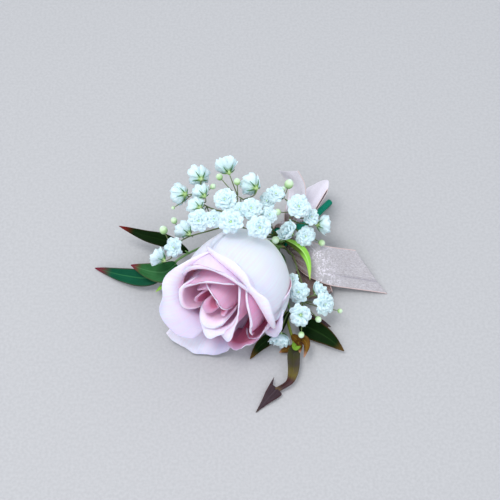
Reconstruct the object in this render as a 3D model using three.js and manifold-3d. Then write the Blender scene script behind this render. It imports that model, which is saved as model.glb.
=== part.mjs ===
// Boutonniere lying on a table: one rose, gypsophila sprays, leaves, a taped stem and a ribbon bow.
// Lengths are millimetres, +Z is up, and the table is the plane under the lowest petals.
import * as THREE from "three";
import { mergeVertices } from "three/addons/utils/BufferGeometryUtils.js";
import Module from "manifold-3d";

const wasm = await Module();
wasm.setup();

// Line of sight: florets, leaves and ribbon points are given by where they are seen from a point
// above the table and by their height over it.
const SIGHT_ELEVATION = 60;
const SIGHT_DISTANCE = 465;
const SIGHT_AIM_HEIGHT = 15;
const SIGHT_MIDDLE = 250;
const SIGHT_SCALE = 1180.6;

// Rose
const ROSE_BASE = new THREE.Vector3(3.9, 1.0, 12.5);
const ROSE_AXIS = new THREE.Vector3(-0.428, -0.8175, 0.386).normalize();
const PETAL_THICKNESS = 0.7;
const PETAL_FOOT_RADIUS = 1.8;
const PETAL_BODY_SHARE = 0.74;
const HIDDEN_SHARE = 0.4;
const CORE_PROFILE = [
  [0, -0.8],
  [2.6, -0.6],
  [9, 4],
  [13, 12],
  [13, 20],
  [9.5, 29],
  [4.5, 34],
  [0, 35.5],
];

// Stem, floral tape and wire
const STEM_AXIS = new THREE.Vector3(0.689, 0.668, -0.281).normalize();
const STEM_RADIUS = 1.05;
const STEM_CUT = 18.5;
const CALYX_DEPTH = 7.5;
const CALYX_RADIUS = 3.1;
const SEPAL_COUNT = 5;
const SEPAL_LENGTH = 8.5;
const TAPE_MOUTH = 11;
const TAPE_END = 34.9;
const TAPE_TIP = [[322.6, 208.8, 2.3], [330.2, 201.6, 1.6]];
const TAPE_TIP_RADIUS = 1.28;
const TAPE_WALL = 0.6;
const TAPE_PROFILE = [
  [11, 4.0],
  [15, 4.0],
  [19, 3.6],
  [23, 2.9],
  [28, 1.6],
  [34.9, 1.42],
];
const WIRE_RADIUS = 0.42;
const SLOT_RADIUS = 2.35;
const SLOT_DEPTH = 4.5;

// Gypsophila
const FLORET_PETALS = 5;
const TWIG_RADIUS = 0.5;
const BRANCH_RADIUS = 0.42;

// Leaves and ribbon
const LEAF_THICKNESS = 0.65;
const RIBBON_WIDTH = 16.5;
const RIBBON_THICKNESS = 0.65;

const RIGHT = new THREE.Vector3(1, 0, 0);
const ELEVATION = THREE.MathUtils.degToRad(SIGHT_ELEVATION);
const UP = new THREE.Vector3(0, Math.sin(ELEVATION), Math.cos(ELEVATION));
const BACK = new THREE.Vector3(0, -Math.cos(ELEVATION), Math.sin(ELEVATION));

// Colours
const FINISHES = {
  petal: { color: 0xf3c6d2, roughness: 0.6 },
  floret: { color: 0xf0f6f4, roughness: 0.7 },
  green: { color: 0x5d8a4a, roughness: 0.65 },
  leaf: { color: 0x1f4a30, roughness: 0.5 },
  lime: { color: 0x8fbf3f, roughness: 0.5 },
  maroon: { color: 0x5b2a33, roughness: 0.55 },
  tape: { color: 0x1f7a6c, roughness: 0.45 },
  wire: { color: 0x9aa39c, roughness: 0.35, metalness: 1 },
  ribbon: { color: 0xb98a86, roughness: 0.4 },
};

function seen([across, down, height]) {
  const eye = new THREE.Vector3(0, 0, SIGHT_AIM_HEIGHT).addScaledVector(BACK, SIGHT_DISTANCE);
  const ray = RIGHT.clone()
    .multiplyScalar((across - SIGHT_MIDDLE) / SIGHT_SCALE)
    .addScaledVector(UP, (SIGHT_MIDDLE - down) / SIGHT_SCALE)
    .sub(BACK);
  return eye.addScaledVector(ray, (height - eye.z) / ray.z);
}

function facing([right, up, back]) {
  return new THREE.Vector3()
    .addScaledVector(RIGHT, right)
    .addScaledVector(UP, up)
    .addScaledVector(BACK, back)
    .normalize();
}

function frameOf(axis, origin, towards = RIGHT) {
  const first = towards.clone().addScaledVector(axis, -towards.dot(axis)).normalize();
  const second = axis.clone().cross(first);
  return new THREE.Matrix4().makeBasis(first, second, axis).setPosition(origin);
}

function seededRandom(seed) {
  let state = seed * 2654435761 + 12345;
  return () => {
    state = (Math.imul(state | 0, 1664525) + 1013904223) >>> 0;
    return state / 4294967296;
  };
}

function blend([low, middle, high], u) {
  return middle + ((high - low) / 2) * u + ((high + low) / 2 - middle) * u * u;
}

// A closed body from a geometry; a body that faces inwards is turned round.
function solid(geometry, closeness = 1e-4) {
  const bare = geometry.index ? geometry.toNonIndexed() : geometry;
  const points = new THREE.BufferGeometry().setAttribute("position", bare.getAttribute("position"));
  const merged = mergeVertices(points, closeness);
  const vertProperties = Float32Array.from(merged.getAttribute("position").array);
  const triVerts = Uint32Array.from(merged.index.array);
  const made = new wasm.Manifold(new wasm.Mesh({ numProp: 3, vertProperties, triVerts }));
  if (made.volume() > 0) return made;
  for (let i = 0; i < triVerts.length; i += 3) {
    const kept = triVerts[i + 1];
    triVerts[i + 1] = triVerts[i + 2];
    triVerts[i + 2] = kept;
  }
  return new wasm.Manifold(new wasm.Mesh({ numProp: 3, vertProperties, triVerts }));
}

function geometryOf(body) {
  const mesh = body.getMesh();
  const position = new Float32Array(mesh.numVert * 3);
  for (let i = 0; i < mesh.numVert; i += 1) {
    position.set(mesh.vertProperties.subarray(i * mesh.numProp, i * mesh.numProp + 3), i * 3);
  }
  const geometry = new THREE.BufferGeometry();
  geometry.setAttribute("position", new THREE.BufferAttribute(position, 3));
  geometry.setIndex(new THREE.BufferAttribute(Uint32Array.from(mesh.triVerts), 1));
  return geometry;
}

function largest(body) {
  const bodies = body.decompose().filter((piece) => piece.volume() > 0);
  return bodies.reduce((best, piece) => (piece.volume() > best.volume() ? piece : best));
}

// Joins bodies into one, with its sealed pockets filled and loose scraps dropped.
function fuse(geometries) {
  let whole = solid(geometries[0]);
  for (const geometry of geometries.slice(1)) whole = whole.add(solid(geometry));
  return largest(solid(geometryOf(largest(whole)), 2e-3));
}

function node(name, finish, body) {
  const geometry = geometryOf(body);
  geometry.computeVertexNormals();
  const made = new THREE.Mesh(geometry, new THREE.MeshStandardMaterial(FINISHES[finish]));
  made.name = name;
  return made;
}

// A thin sheet: a plane grid moved point by point, with a front, a back and a rim.
function sheet(pointAt, columns, rows, thickness) {
  const plane = new THREE.PlaneGeometry(2, 1, columns, rows).translate(0, 0.5, 0);
  const position = plane.getAttribute("position");
  for (let i = 0; i < position.count; i += 1) {
    const point = pointAt(position.getX(i), position.getY(i));
    position.setXYZ(i, point.x, point.y, point.z);
  }
  plane.computeVertexNormals();
  const normal = plane.getAttribute("normal");
  const count = position.count;
  const points = [];
  for (const side of [0.5, -0.5]) {
    for (let i = 0; i < count; i += 1) {
      points.push(position.getX(i) + normal.getX(i) * side * thickness);
      points.push(position.getY(i) + normal.getY(i) * side * thickness);
      points.push(position.getZ(i) + normal.getZ(i) * side * thickness);
    }
  }
  const faces = [];
  const index = plane.index.array;
  for (let i = 0; i < index.length; i += 3) {
    faces.push(index[i], index[i + 1], index[i + 2]);
    faces.push(index[i] + count, index[i + 2] + count, index[i + 1] + count);
  }
  const rim = [];
  for (let c = 0; c <= columns; c += 1) rim.push(c);
  for (let r = 1; r <= rows; r += 1) rim.push(r * (columns + 1) + columns);
  for (let c = columns - 1; c >= 0; c -= 1) rim.push(rows * (columns + 1) + c);
  for (let r = rows - 1; r >= 1; r -= 1) rim.push(r * (columns + 1));
  rim.forEach((a, k) => {
    const b = rim[(k + 1) % rim.length];
    faces.push(a, b, b + count);
    faces.push(a, b + count, a + count);
  });
  const geometry = new THREE.BufferGeometry();
  geometry.setAttribute("position", new THREE.Float32BufferAttribute(points, 3));
  geometry.setIndex(faces);
  return geometry;
}

function tube(points, radius, sides, steps) {
  const shape = new THREE.Shape();
  for (let i = 0; i < sides; i += 1) {
    const angle = (i / sides) * 2 * Math.PI;
    const corner = [radius * Math.cos(angle), radius * Math.sin(angle)];
    if (i === 0) shape.moveTo(...corner);
    else shape.lineTo(...corner);
  }
  const extrudePath = new THREE.CatmullRomCurve3(points);
  return new THREE.ExtrudeGeometry(shape, { steps, bevelEnabled: false, extrudePath });
}

function lathe(profile, segments, matrix) {
  const points = profile.map(([radius, height]) => new THREE.Vector2(radius, height));
  return new THREE.LatheGeometry(points, segments).rotateX(Math.PI / 2).applyMatrix4(matrix);
}

// Rose petals: azimuth and half-span in degrees round the rose axis; neck radius, belly, lip curl
// and straight lip length at both side edges and in the middle; height of the neck over the base.
const PETALS = [
  { azimuth: 20, span: 120, radius: [2, 1.2, 1.8], height: 39.4, belly: 0.5, curl: 0.5, roll: 75, tip: 0.4 },
  {
    azimuth: 200, span: 88, radius: [2.6, 2.6, 2.4], height: 38.6, belly: 0.5, curl: [0.5, 2.6, 0.5], roll: 80,
    tip: 1, tipAt: 0.15,
  },
  { azimuth: -26, span: 30, radius: [2.4, 4, 3.8], height: 39.9, belly: 0.6, curl: 0.9, roll: 100, tip: 0.6 },
  {
    azimuth: 156, span: 50, radius: [5.6, 7, 6.8], height: 40, belly: 0.9, curl: 0.8, roll: 90, tip: 0.5,
    tipAt: 0.3,
  },
  { azimuth: 122, span: 34, radius: [7, 8.2, 9.2], height: 40.6, belly: 1, curl: 0.5, roll: 80, tip: 0.3 },
  {
    azimuth: 266, span: 68, radius: [7.4, 6.6, 6.2], height: 38.8, belly: 1.3, curl: [1.8, 2.6, 1], roll: 92,
    tip: 1.8, tipAt: -0.45, tipWidth: 0.3,
  },
  { azimuth: 56, span: 74, radius: [5.2, 5.1, 10.2], height: 42, belly: 1.6, curl: 0.8, roll: 100, tip: 0.4 },
  { azimuth: 174, span: 44, radius: [11.8, 12.8, 9.6], height: 41, belly: 1.8, curl: 1.1, roll: 105, tip: 0.4 },
  {
    azimuth: 276, span: 66, radius: [9.8, 9.8, 8.2], height: 38.8, belly: 1.8, curl: [1.6, 2.4, 1.2], roll: 88,
    tip: 3.4, tipAt: -0.22, tipWidth: 0.24, columns: 8,
  },
  {
    azimuth: 116, span: 62, radius: [13.8, 11.2, 15], height: 40.8, belly: 2.6, curl: 1, roll: 100, drop: 0.08,
    tip: 0.4,
  },
  {
    azimuth: -18, span: 70, radius: [12.6, 9.8, 13.6], height: 41.3, belly: 2.6, curl: [1.8, 0.8, 1], roll: 95,
    drop: 0.12, tip: 3.6, tipAt: -0.6, tipWidth: 0.3,
  },
  {
    azimuth: 2, span: 46, radius: [17.4, 14.8, 15.4], height: 40.5, belly: 3, curl: 1, roll: 110, tip: 1.2,
    tipAt: -0.8,
  },
  {
    azimuth: 88, span: 64, radius: [16.4, 17, 16], height: 39.6, belly: 3.2, curl: [1.6, 1.9, 1.6], roll: 130,
    drop: 0.1, columns: 8,
  },
  {
    azimuth: 44, span: 70, radius: [20.6, 17.2, 19.4], height: 35, belly: [4.2, 4.6, 2.6], curl: [2.8, 4.1, 2],
    roll: 158, columns: 10, rows: 6,
  },
  {
    azimuth: 178, span: 74, radius: [18.8, 15.4, 14.6], height: 35, belly: [2.9, 5.8, 6.2], curl: [0.8, 5, 5.4],
    roll: 100, flare: [0, 4.2, 6.4], drop: 0.12, columns: 10, rows: 6,
  },
  {
    azimuth: 250, span: 30, radius: [22.4, 22.4, 21.6], height: 31, belly: 1.6, curl: 5, roll: 76,
    flare: [8.6, 3.4, 2], drop: 0.05, tip: 2.4, columns: 8,
  },
  {
    azimuth: -58, span: 28, radius: [21, 20.6, 20], height: 33.5, belly: 3, curl: 3, roll: 60,
    flare: [2.4, 0, 0], drop: 0.1,
  },
  {
    azimuth: -36, span: 34, radius: [19, 20, 20], height: 34, belly: 3.4, curl: 1.5, roll: 40, drop: 0.24,
    tip: 1,
  },
  {
    azimuth: -37, span: 19, radius: [21.4, 23.2, 19.8], height: 21.5, belly: 0.6, curl: 2.8, roll: 85,
    flare: [0.8, 2.2, 0.3], drop: 0.15, tip: 0.6,
  },
];

function triple(value) {
  return Array.isArray(value) ? value : [value, value, value];
}

function petalPoint(petal, u, v) {
  const radius = blend(petal.radius, u);
  const belly = blend(triple(petal.belly), u);
  const curl = blend(triple(petal.curl), u);
  const flare = blend(triple(petal.flare ?? 0), u);
  const height = petal.height * (1 - (petal.drop ?? 0.18) * Math.abs(u) ** 3.2);
  const foot = new THREE.Vector2(PETAL_FOOT_RADIUS, 0);
  const spread = new THREE.Vector2(radius * 0.5 + belly * 1.1 + 1, 0.02 * height);
  const cheek = new THREE.Vector2(radius + belly * 1.25, 0.6 * height);
  const neck = new THREE.Vector2(radius, height);
  const along = Math.min(1, v / PETAL_BODY_SHARE);
  const place = new THREE.CubicBezierCurve(foot, spread, cheek, neck).getPoint(along);
  const lean = Math.atan2(neck.x - cheek.x, neck.y - cheek.y);
  if (v > PETAL_BODY_SHARE) {
    const past = (v - PETAL_BODY_SHARE) / (1 - PETAL_BODY_SHARE);
    const point = Math.exp(-(((u - (petal.tipAt ?? 0)) / (petal.tipWidth ?? 0.2)) ** 2));
    const roll = THREE.MathUtils.degToRad(petal.roll) * (1 - 0.35 * u * u) * (1 - 0.25 * point);
    const turned = lean + roll * Math.min(1, past / 0.7);
    const reach = ((petal.tip ?? 0) * point + flare) * Math.max(0, (past - 0.4) / 0.6);
    place.x += curl * (Math.cos(lean) - Math.cos(turned)) + reach * Math.sin(turned);
    place.y += curl * (Math.sin(turned) - Math.sin(lean)) + reach * Math.cos(turned);
  }
  const open = 0.34 + 0.66 * Math.sin((Math.min(1, v / 0.62) * Math.PI) / 2);
  const width = open * (1 - 0.1 * Math.max(0, (v - 0.7) / 0.3) ** 2);
  const angle = THREE.MathUtils.degToRad(petal.azimuth + petal.span * u * width);
  const wave = 0.25 * v * v * Math.sin(5 * u + petal.azimuth);
  return new THREE.Vector3(
    (place.x + wave) * Math.cos(angle),
    (place.x + wave) * Math.sin(angle),
    place.y,
  );
}

function roseBloom() {
  const place = frameOf(ROSE_AXIS, ROSE_BASE);
  const bodies = [lathe(CORE_PROFILE, 10, place)];
  for (const petal of PETALS) {
    const start = petal.radius[1] < 16 && petal.height > 38 ? HIDDEN_SHARE : 0;
    const rowAt = (v) => start + (1 - start) * (1 - (1 - v) ** 1.5);
    const pointAt = (u, v) => petalPoint(petal, u, rowAt(v)).applyMatrix4(place);
    const columns = petal.columns ?? (start > 0 ? 6 : 7);
    const rows = petal.rows ?? (start > 0 ? 4 : 5);
    bodies.push(sheet(pointAt, columns, rows, PETAL_THICKNESS));
  }
  return fuse(bodies);
}

const STEM_SIDE = STEM_AXIS.clone().cross(BACK).normalize();
const STEM_FRAME = frameOf(STEM_AXIS, ROSE_BASE, STEM_SIDE);

function alongStem(distance, radius = 0, degrees = 0) {
  const angle = THREE.MathUtils.degToRad(-degrees);
  const point = new THREE.Vector3(radius * Math.cos(angle), radius * Math.sin(angle), distance);
  return point.applyMatrix4(STEM_FRAME);
}

function roseStem() {
  const place = frameOf(ROSE_AXIS, ROSE_BASE);
  const cup = [
    [0, -1.3],
    [2.4, -1.3],
    [CALYX_RADIUS, -2.6],
    [CALYX_RADIUS * 0.86, -CALYX_DEPTH * 0.66],
    [STEM_RADIUS * 1.2, -CALYX_DEPTH],
    [0, -CALYX_DEPTH],
  ];
  const bodies = [lathe(cup, 8, place)];
  for (let i = 0; i < SEPAL_COUNT; i += 1) {
    const turn = (i / SEPAL_COUNT) * 2 * Math.PI + 0.4;
    const sepalAt = (u, v) => {
      const out = 1.2 + SEPAL_LENGTH * v;
      const side = u * (0.3 + 1.5 * Math.sin(Math.PI * Math.min(1, 0.3 + 0.7 * v)));
      const rise = -1.75 + 0.4 * v * v - 0.25 * u * u;
      const point = new THREE.Vector3(out, side, rise);
      return point.applyAxisAngle(new THREE.Vector3(0, 0, 1), turn).applyMatrix4(place);
    };
    bodies.push(sheet(sepalAt, 2, 3, LEAF_THICKNESS));
  }
  const foot = ROSE_BASE.clone().addScaledVector(ROSE_AXIS, -4);
  bodies.push(tube([foot, alongStem(9), alongStem(14), alongStem(STEM_CUT)], STEM_RADIUS, 8, 6));
  return fuse(bodies);
}

function floralTape() {
  const outer = TAPE_PROFILE.map(([distance, radius]) => [radius, distance]).reverse();
  const inner = TAPE_PROFILE.map(([distance, radius]) => [radius - TAPE_WALL, distance]);
  inner[inner.length - 1][1] = TAPE_END - TAPE_WALL;
  const profile = [[0, TAPE_END], ...outer, ...inner, [0, TAPE_END - TAPE_WALL]];
  const tip = tube([alongStem(TAPE_END - 0.4), ...TAPE_TIP.map(seen)], TAPE_TIP_RADIUS, 12, 4);
  return fuse([lathe(profile, 14, STEM_FRAME), tip]);
}

function stemWire(slot) {
  const path = [alongStem(TAPE_MOUTH + 1, SLOT_RADIUS, slot), alongStem(18.5, 2.1, slot)];
  path.push(alongStem(24, 0.6, slot), alongStem(28), alongStem(TAPE_END - 1.1));
  return solid(tube(path, WIRE_RADIUS, 6, 9));
}

// The part of every twig that is held in the tape, up to its way out of the mouth.
function heldEnd(slot, leave = 3.2, reach = 3.2) {
  return [
    alongStem(TAPE_MOUTH + SLOT_DEPTH, SLOT_RADIUS, slot),
    alongStem(TAPE_MOUTH + 1.2, SLOT_RADIUS, slot),
    alongStem(TAPE_MOUTH - 0.8, SLOT_RADIUS + 0.15, slot),
    alongStem(TAPE_MOUTH - reach, leave, slot),
  ];
}

// A double floret: an upper and a lower ring of notched petals over a funnel-shaped calyx.
function floretBody(floret, random) {
  const place = frameOf(facing(floret.face), seen(floret.at));
  const half = floret.size / 2;
  const count = FLORET_PETALS * 3;
  const start = random() * Math.PI;
  const ringAt = (radius, notch, rise, offset) => {
    const ring = [];
    for (let i = 0; i < count; i += 1) {
      const angle = start + ((i + 0.35 * (random() - 0.5)) / count) * 2 * Math.PI;
      const deep = (i + offset) % 3 === 0;
      const out = half * radius * (deep ? notch : 0.92 + 0.16 * random());
      const height = half * rise * (deep ? 0.55 : 0.8 + 0.4 * random());
      ring.push([out * Math.cos(angle), out * Math.sin(angle), height]);
    }
    return ring;
  };
  const rings = floret.bell
    ? [ringAt(0.6, 0.8, 1.3, 1), ringAt(0.5, 1, 0.8, 0), ringAt(1.1, 0.7, 1, 0)]
    : [ringAt(0.7, 0.68, 0.5, 1), ringAt(0.36, 1, 0.14, 0), ringAt(1.1, 0.66, 0.18, 0)];
  const points = [0, 0, half * (floret.bell ? 0.9 : 0.3), 0, 0, -half * 0.75, ...rings.flat(2)];
  const faces = [];
  for (let i = 0; i < count; i += 1) {
    const next = (i + 1) % count;
    faces.push(0, 2 + i, 2 + next);
    for (let r = 0; r < 2; r += 1) {
      const near = 2 + r * count;
      const far = near + count;
      faces.push(near + i, far + i, far + next, near + i, far + next, near + next);
    }
    faces.push(2 + 2 * count + i, 1, 2 + 2 * count + next);
  }
  const geometry = new THREE.BufferGeometry();
  geometry.setAttribute("position", new THREE.Float32BufferAttribute(points, 3));
  geometry.setIndex(faces);
  return geometry.applyMatrix4(place);
}

function nearest(point, hubs) {
  return hubs.reduce((best, hub) => (hub.distanceTo(point) < best.distanceTo(point) ? hub : best));
}

function branch(hub, end, approach) {
  const reach = hub.distanceTo(end) * 0.4;
  const before = end.clone().addScaledVector(approach, -reach);
  const middle = hub.clone().lerp(before, 0.6);
  return tube([hub, middle, end], BRANCH_RADIUS, 3, 2);
}

function gypsophila(spray, seed) {
  const random = seededRandom(seed);
  const trunk = [...heldEnd(spray.slot, spray.leave, spray.reach), ...spray.trunk.map(seen)];
  const bodies = [tube(trunk, TWIG_RADIUS, 4, Math.round(trunk.length * 1.5))];
  const curve = new THREE.CatmullRomCurve3(trunk);
  const hubs = [];
  for (let i = 0; i <= 8; i += 1) hubs.push(curve.getPoint(0.5 + (0.5 * i) / 8));
  for (const floret of spray.florets) {
    const axis = facing(floret.face);
    const end = seen(floret.at).addScaledVector(axis, -floret.size * 0.2);
    bodies.push(branch(nearest(end, hubs), end, axis));
    bodies.push(floretBody(floret, random));
  }
  for (const bud of spray.buds) {
    const centre = seen(bud.at);
    const hub = nearest(centre, hubs);
    const towards = centre.clone().sub(hub).normalize();
    const ball = new THREE.OctahedronGeometry(1, 1).scale(bud.size / 2, bud.size / 2, bud.size * 0.58);
    bodies.push(ball.applyMatrix4(frameOf(towards, centre, BACK)));
    bodies.push(branch(hub, centre, towards));
  }
  return fuse(bodies);
}

// Gypsophila sprays: slot is the side of the tape mouth that the twig leaves by, in degrees.
const SPRAYS = {
  gypsophila_left: {
    slot: 216, leave: 4.6,
    trunk: [[235, 226, 18], [205, 232, 20], [186, 238, 21], [172, 247, 20]],
    florets: [
      { at: [187, 232, 24.5], size: 7.2, face: [-0.6, 0.5, -0.4], bell: true },
      { at: [175, 247.5, 23], size: 8.2, face: [-0.5, 0.0, 0.8] },
      { at: [161.2, 258.8, 20.5], size: 7.2, face: [-0.8, 0.45, -0.25], bell: true },
    ],
    buds: [
      { at: [163.5, 230, 24], size: 3.2 },
      { at: [174, 220.5, 27], size: 2.5 },
    ],
  },
  gypsophila_upper_left: {
    slot: 180, leave: 4.0,
    trunk: [[240, 214, 23], [216, 210, 28], [203, 204, 31], [193, 194, 33]],
    florets: [
      { at: [200.2, 178.2, 34], size: 8.2, face: [-0.3, 0.35, -0.85], bell: true },
      { at: [183.3, 194.4, 33.5], size: 7.9, face: [-0.6, 0.05, -0.75], bell: true },
      { at: [202.8, 194.3, 36.5], size: 7.2, face: [-0.5, 0.55, -0.6], bell: true },
      { at: [198.6, 207.6, 36.5], size: 7.0, face: [-0.5, 0.1, -0.85], bell: true },
      { at: [199, 220.5, 37], size: 8.6, face: [-0.1, -0.2, 1] },
      { at: [213.5, 219, 37.8], size: 7.0, face: [0.1, 0.1, 1] },
    ],
    buds: [
      { at: [213, 186.5, 37], size: 2.2 },
      { at: [173, 208, 33], size: 1.4 },
    ],
  },
  gypsophila_top: {
    slot: 144, leave: 5.2, reach: 2.4,
    trunk: [[268, 214, 24], [254, 206, 31], [244, 200, 36], [238, 196, 38]],
    florets: [
      { at: [227.8, 169.6, 38], size: 8.2, face: [-0.3, 0.85, -0.4], bell: true },
      { at: [225, 199.5, 43], size: 8.8, face: [-0.1, 0.1, 1] },
      { at: [253.9, 186.8, 39], size: 8.4, face: [-0.55, 0.4, -0.65], bell: true },
      { at: [251, 208.5, 43.5], size: 8.6, face: [0.1, 0.2, 1] },
      { at: [231, 221.5, 44.5], size: 9.4, face: [-0.1, -0.1, 1] },
      { at: [259.5, 227, 43], size: 9.4, face: [0.1, -0.2, 1] },
      { at: [240, 210, 42.5], size: 6.8, face: [-0.1, 0.3, 1] },
      { at: [269, 215, 40], size: 6.4, face: [0.4, 0.2, 0.9] },
    ],
    buds: [
      { at: [237, 181.7, 42], size: 2.6 },
      { at: [219.4, 177, 39], size: 2.6 },
    ],
  },
  gypsophila_right: {
    slot: 108, leave: 4.4, reach: 1.8,
    trunk: [[288, 222, 21], [291, 214, 24], [290, 204, 26], [284, 198, 27]],
    florets: [
      { at: [268, 201, 31], size: 7.6, face: [-0.5, 0.1, 0.8] },
      { at: [275.5, 194.5, 32], size: 7.6, face: [0.1, 0.5, 0.85] },
      { at: [298.5, 206.5, 30], size: 9.6, face: [0.1, 0.1, 1] },
      { at: [305, 236, 19], size: 8.4, face: [0.3, -0.2, 0.9] },
      { at: [289.5, 233, 23.5], size: 7.4, face: [-0.55, 0.3, 0.5], bell: true },
      { at: [320, 224.7, 19.5], size: 7.2, face: [0.85, 0.05, -0.35], bell: true },
      { at: [311, 217, 24], size: 7.0, face: [0.4, 0.2, 0.9] },
    ],
    buds: [
      { at: [289, 184, 31], size: 3.6 },
      { at: [283, 189, 30.5], size: 2.0 },
      { at: [275.5, 240, 24], size: 3.0 },
      { at: [277.5, 212, 30], size: 2.6 },
      { at: [321.7, 243, 14.5], size: 2.6 },
    ],
  },
  gypsophila_lower: {
    slot: 36, leave: 4.4, reach: 2.0,
    trunk: [[293, 256, 13], [298, 272, 12.5], [303, 288, 11.5], [303, 302, 10.5]],
    florets: [
      { at: [298.4, 292.5, 10.8], size: 9.0, face: [0.0, 0.2, 1] },
      { at: [300.6, 314.5, 12.5], size: 9.0, face: [0, -0.2, 1] },
      { at: [324, 304, 12.5], size: 8.8, face: [0.5, -0.1, 0.85] },
      { at: [317.5, 292.5, 12.6], size: 6.4, face: [0.6, 0.55, 0.45], bell: true },
      { at: [280.5, 336.5, 5.4], size: 7.4, face: [0, -0.85, 0.4], bell: true },
      { at: [293, 279, 12.2], size: 4.8, face: [-0.2, 0.3, 0.9] },
    ],
    buds: [
      { at: [340, 311, 10.5], size: 1.9 },
      { at: [301.3, 334.8, 9.5], size: 2.4 },
      { at: [318.4, 319.4, 11.5], size: 2.4 },
    ],
  },
};

// Leaves: a path seen from base to tip, the widest width, the fold along the midrib and the way the
// upper face looks.
function leafBody(leaf) {
  const curve = new THREE.CatmullRomCurve3(leaf.path.map(seen));
  const looks = facing(leaf.face ?? [0, 0, 1]);
  const pointAt = (u, v) => {
    const centre = curve.getPoint(v);
    const tangent = curve.getTangent(v);
    const side = tangent.clone().cross(looks).normalize();
    const up = side.clone().cross(tangent).normalize();
    const shape = Math.sin(Math.PI * (0.06 + 0.9 * v ** (leaf.bias ?? 0.8))) ** 0.85;
    const half = Math.max(0.3, (leaf.width / 2) * Math.max(shape, leaf.ends ?? 0));
    return centre.addScaledVector(side, u * half).addScaledVector(up, (leaf.fold ?? 0.25) * Math.abs(u) * half);
  };
  return sheet(pointAt, 2, leaf.rows ?? 7, LEAF_THICKNESS);
}

function leafSprig(sprig) {
  const trunk = [...heldEnd(sprig.slot, sprig.leave), ...sprig.trunk.map(seen)];
  const bodies = [tube(trunk, TWIG_RADIUS, 4, Math.round(trunk.length * 1.5))];
  for (const leaf of sprig.leaves) {
    bodies.push(leafBody(leaf));
    if (leaf.from) {
      const foot = seen(leaf.path[0]).lerp(seen(leaf.path[1]), 0.15);
      bodies.push(tube([seen(leaf.from), foot], TWIG_RADIUS, 4, 2));
    }
  }
  return fuse(bodies);
}

const SPRIGS = {
  leaf_sprig_left: {
    finish: "leaf", slot: 252, leave: 4.4,
    trunk: [[235, 238, 8], [205, 246, 6.5], [182, 257, 6.5], [168, 268, 6.5]],
    leaves: [
      {
        path: [[188, 252, 7], [166, 241, 9], [145, 235.5, 11], [119, 226, 12]], width: 5.4,
        from: [190, 254, 6.6],
      },
      {
        path: [[170, 268, 6.5], [150, 277.5, 5.5], [125, 275.5, 3.3], [95, 268, 0.6]], width: 6.8, bias: 0.95,
        from: [168, 268, 6.5],
      },
      {
        path: [[176, 264, 7], [165, 272, 9.6], [150, 271, 9.8], [131, 265, 8.8]], width: 8.2,
        from: [176, 262, 6.6],
      },
      { path: [[170, 278, 5.5], [163, 285.5, 4.5], [155.5, 292, 4]], width: 1.7, rows: 3, from: [170, 269, 6.4] },
    ],
  },
  leaf_sprig_lower: {
    finish: "leaf", slot: 0, leave: 4.2,
    trunk: [[284, 258, 4.8], [285, 285, 3.4], [290, 310, 2.2], [300, 326, 2.0]],
    leaves: [
      { path: [[300, 324, 2.4], [312, 329, 3.2], [328, 338, 3.6], [344, 351, 2.2]], width: 8.2, bias: 0.7 },
      { path: [[298, 314, 3], [310, 318, 4], [322, 323, 5], [331, 327, 5]], width: 3.2, rows: 5 },
      {
        path: [[290, 310, 2.4], [283, 322, 4.6], [272, 336, 3.4], [260, 346, 2], [250, 359, 1.2]], width: 4.6,
        bias: 1.3,
      },
    ],
  },
  lime_leaf: {
    finish: "lime", slot: 72, leave: 4.4,
    trunk: [[285, 240, 16.5]],
    leaves: [
      {
        path: [[285, 240, 16.5], [295, 245, 16.5], [303, 252, 15.6], [308, 262, 14.5], [310, 280, 12.5]],
        width: 3.6, fold: 0.3, face: [0.3, 0.3, 1],
      },
    ],
  },
  bract_twig: {
    finish: "maroon", slot: 324, leave: 4.0,
    trunk: [[277, 262, 2.6], [281, 290, 1.8], [286, 315, 1.8], [291, 333, 3.0], [295, 346, 5.0]],
    leaves: [
      {
        path: [[297, 342, 5.4], [303, 339.5, 7], [306.5, 345, 7.8], [304, 357.5, 6.4]], width: 3.6, rows: 5,
        face: [0.4, 0, 1],
      },
      {
        path: [[296, 349, 4.2], [290, 348.5, 3.2], [285, 350, 2.4], [279, 352.5, 1.8]], width: 3.2, rows: 4,
        face: [0, 0.4, 1],
      },
      {
        path: [[292, 335, 4.2], [297, 340, 5.4], [299.5, 346, 6], [300, 353, 5.4]], width: 3.4, rows: 4,
        face: [-0.3, 0.2, 1],
      },
      { path: [[293, 343, 5.8], [296, 348, 6.8], [301, 346, 7.4]], width: 2, rows: 3 },
      {
        path: [
          [294.5, 347, 5], [293.6, 356, 4.6], [293.6, 366, 4], [292.3, 375, 3.3], [289.5, 381.5, 2.9],
          [283, 386.5, 2.3], [276, 390, 1.8],
        ],
        width: 4.8, bias: 0.45, fold: 0.5, ends: 0.4,
      },
      {
        path: [[277, 388.5, 2], [270, 396, 1.5], [264, 403, 1], [256, 412.4, 0.4]], width: 5.9, bias: 0.3,
        rows: 5, face: [-0.2, 0, 1],
      },
      { path: [[270, 393, 1.7], [270.6, 387, 2], [274.1, 377, 2.4]], width: 2.2, bias: 0.4, rows: 3 },
    ],
  },
};

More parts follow.
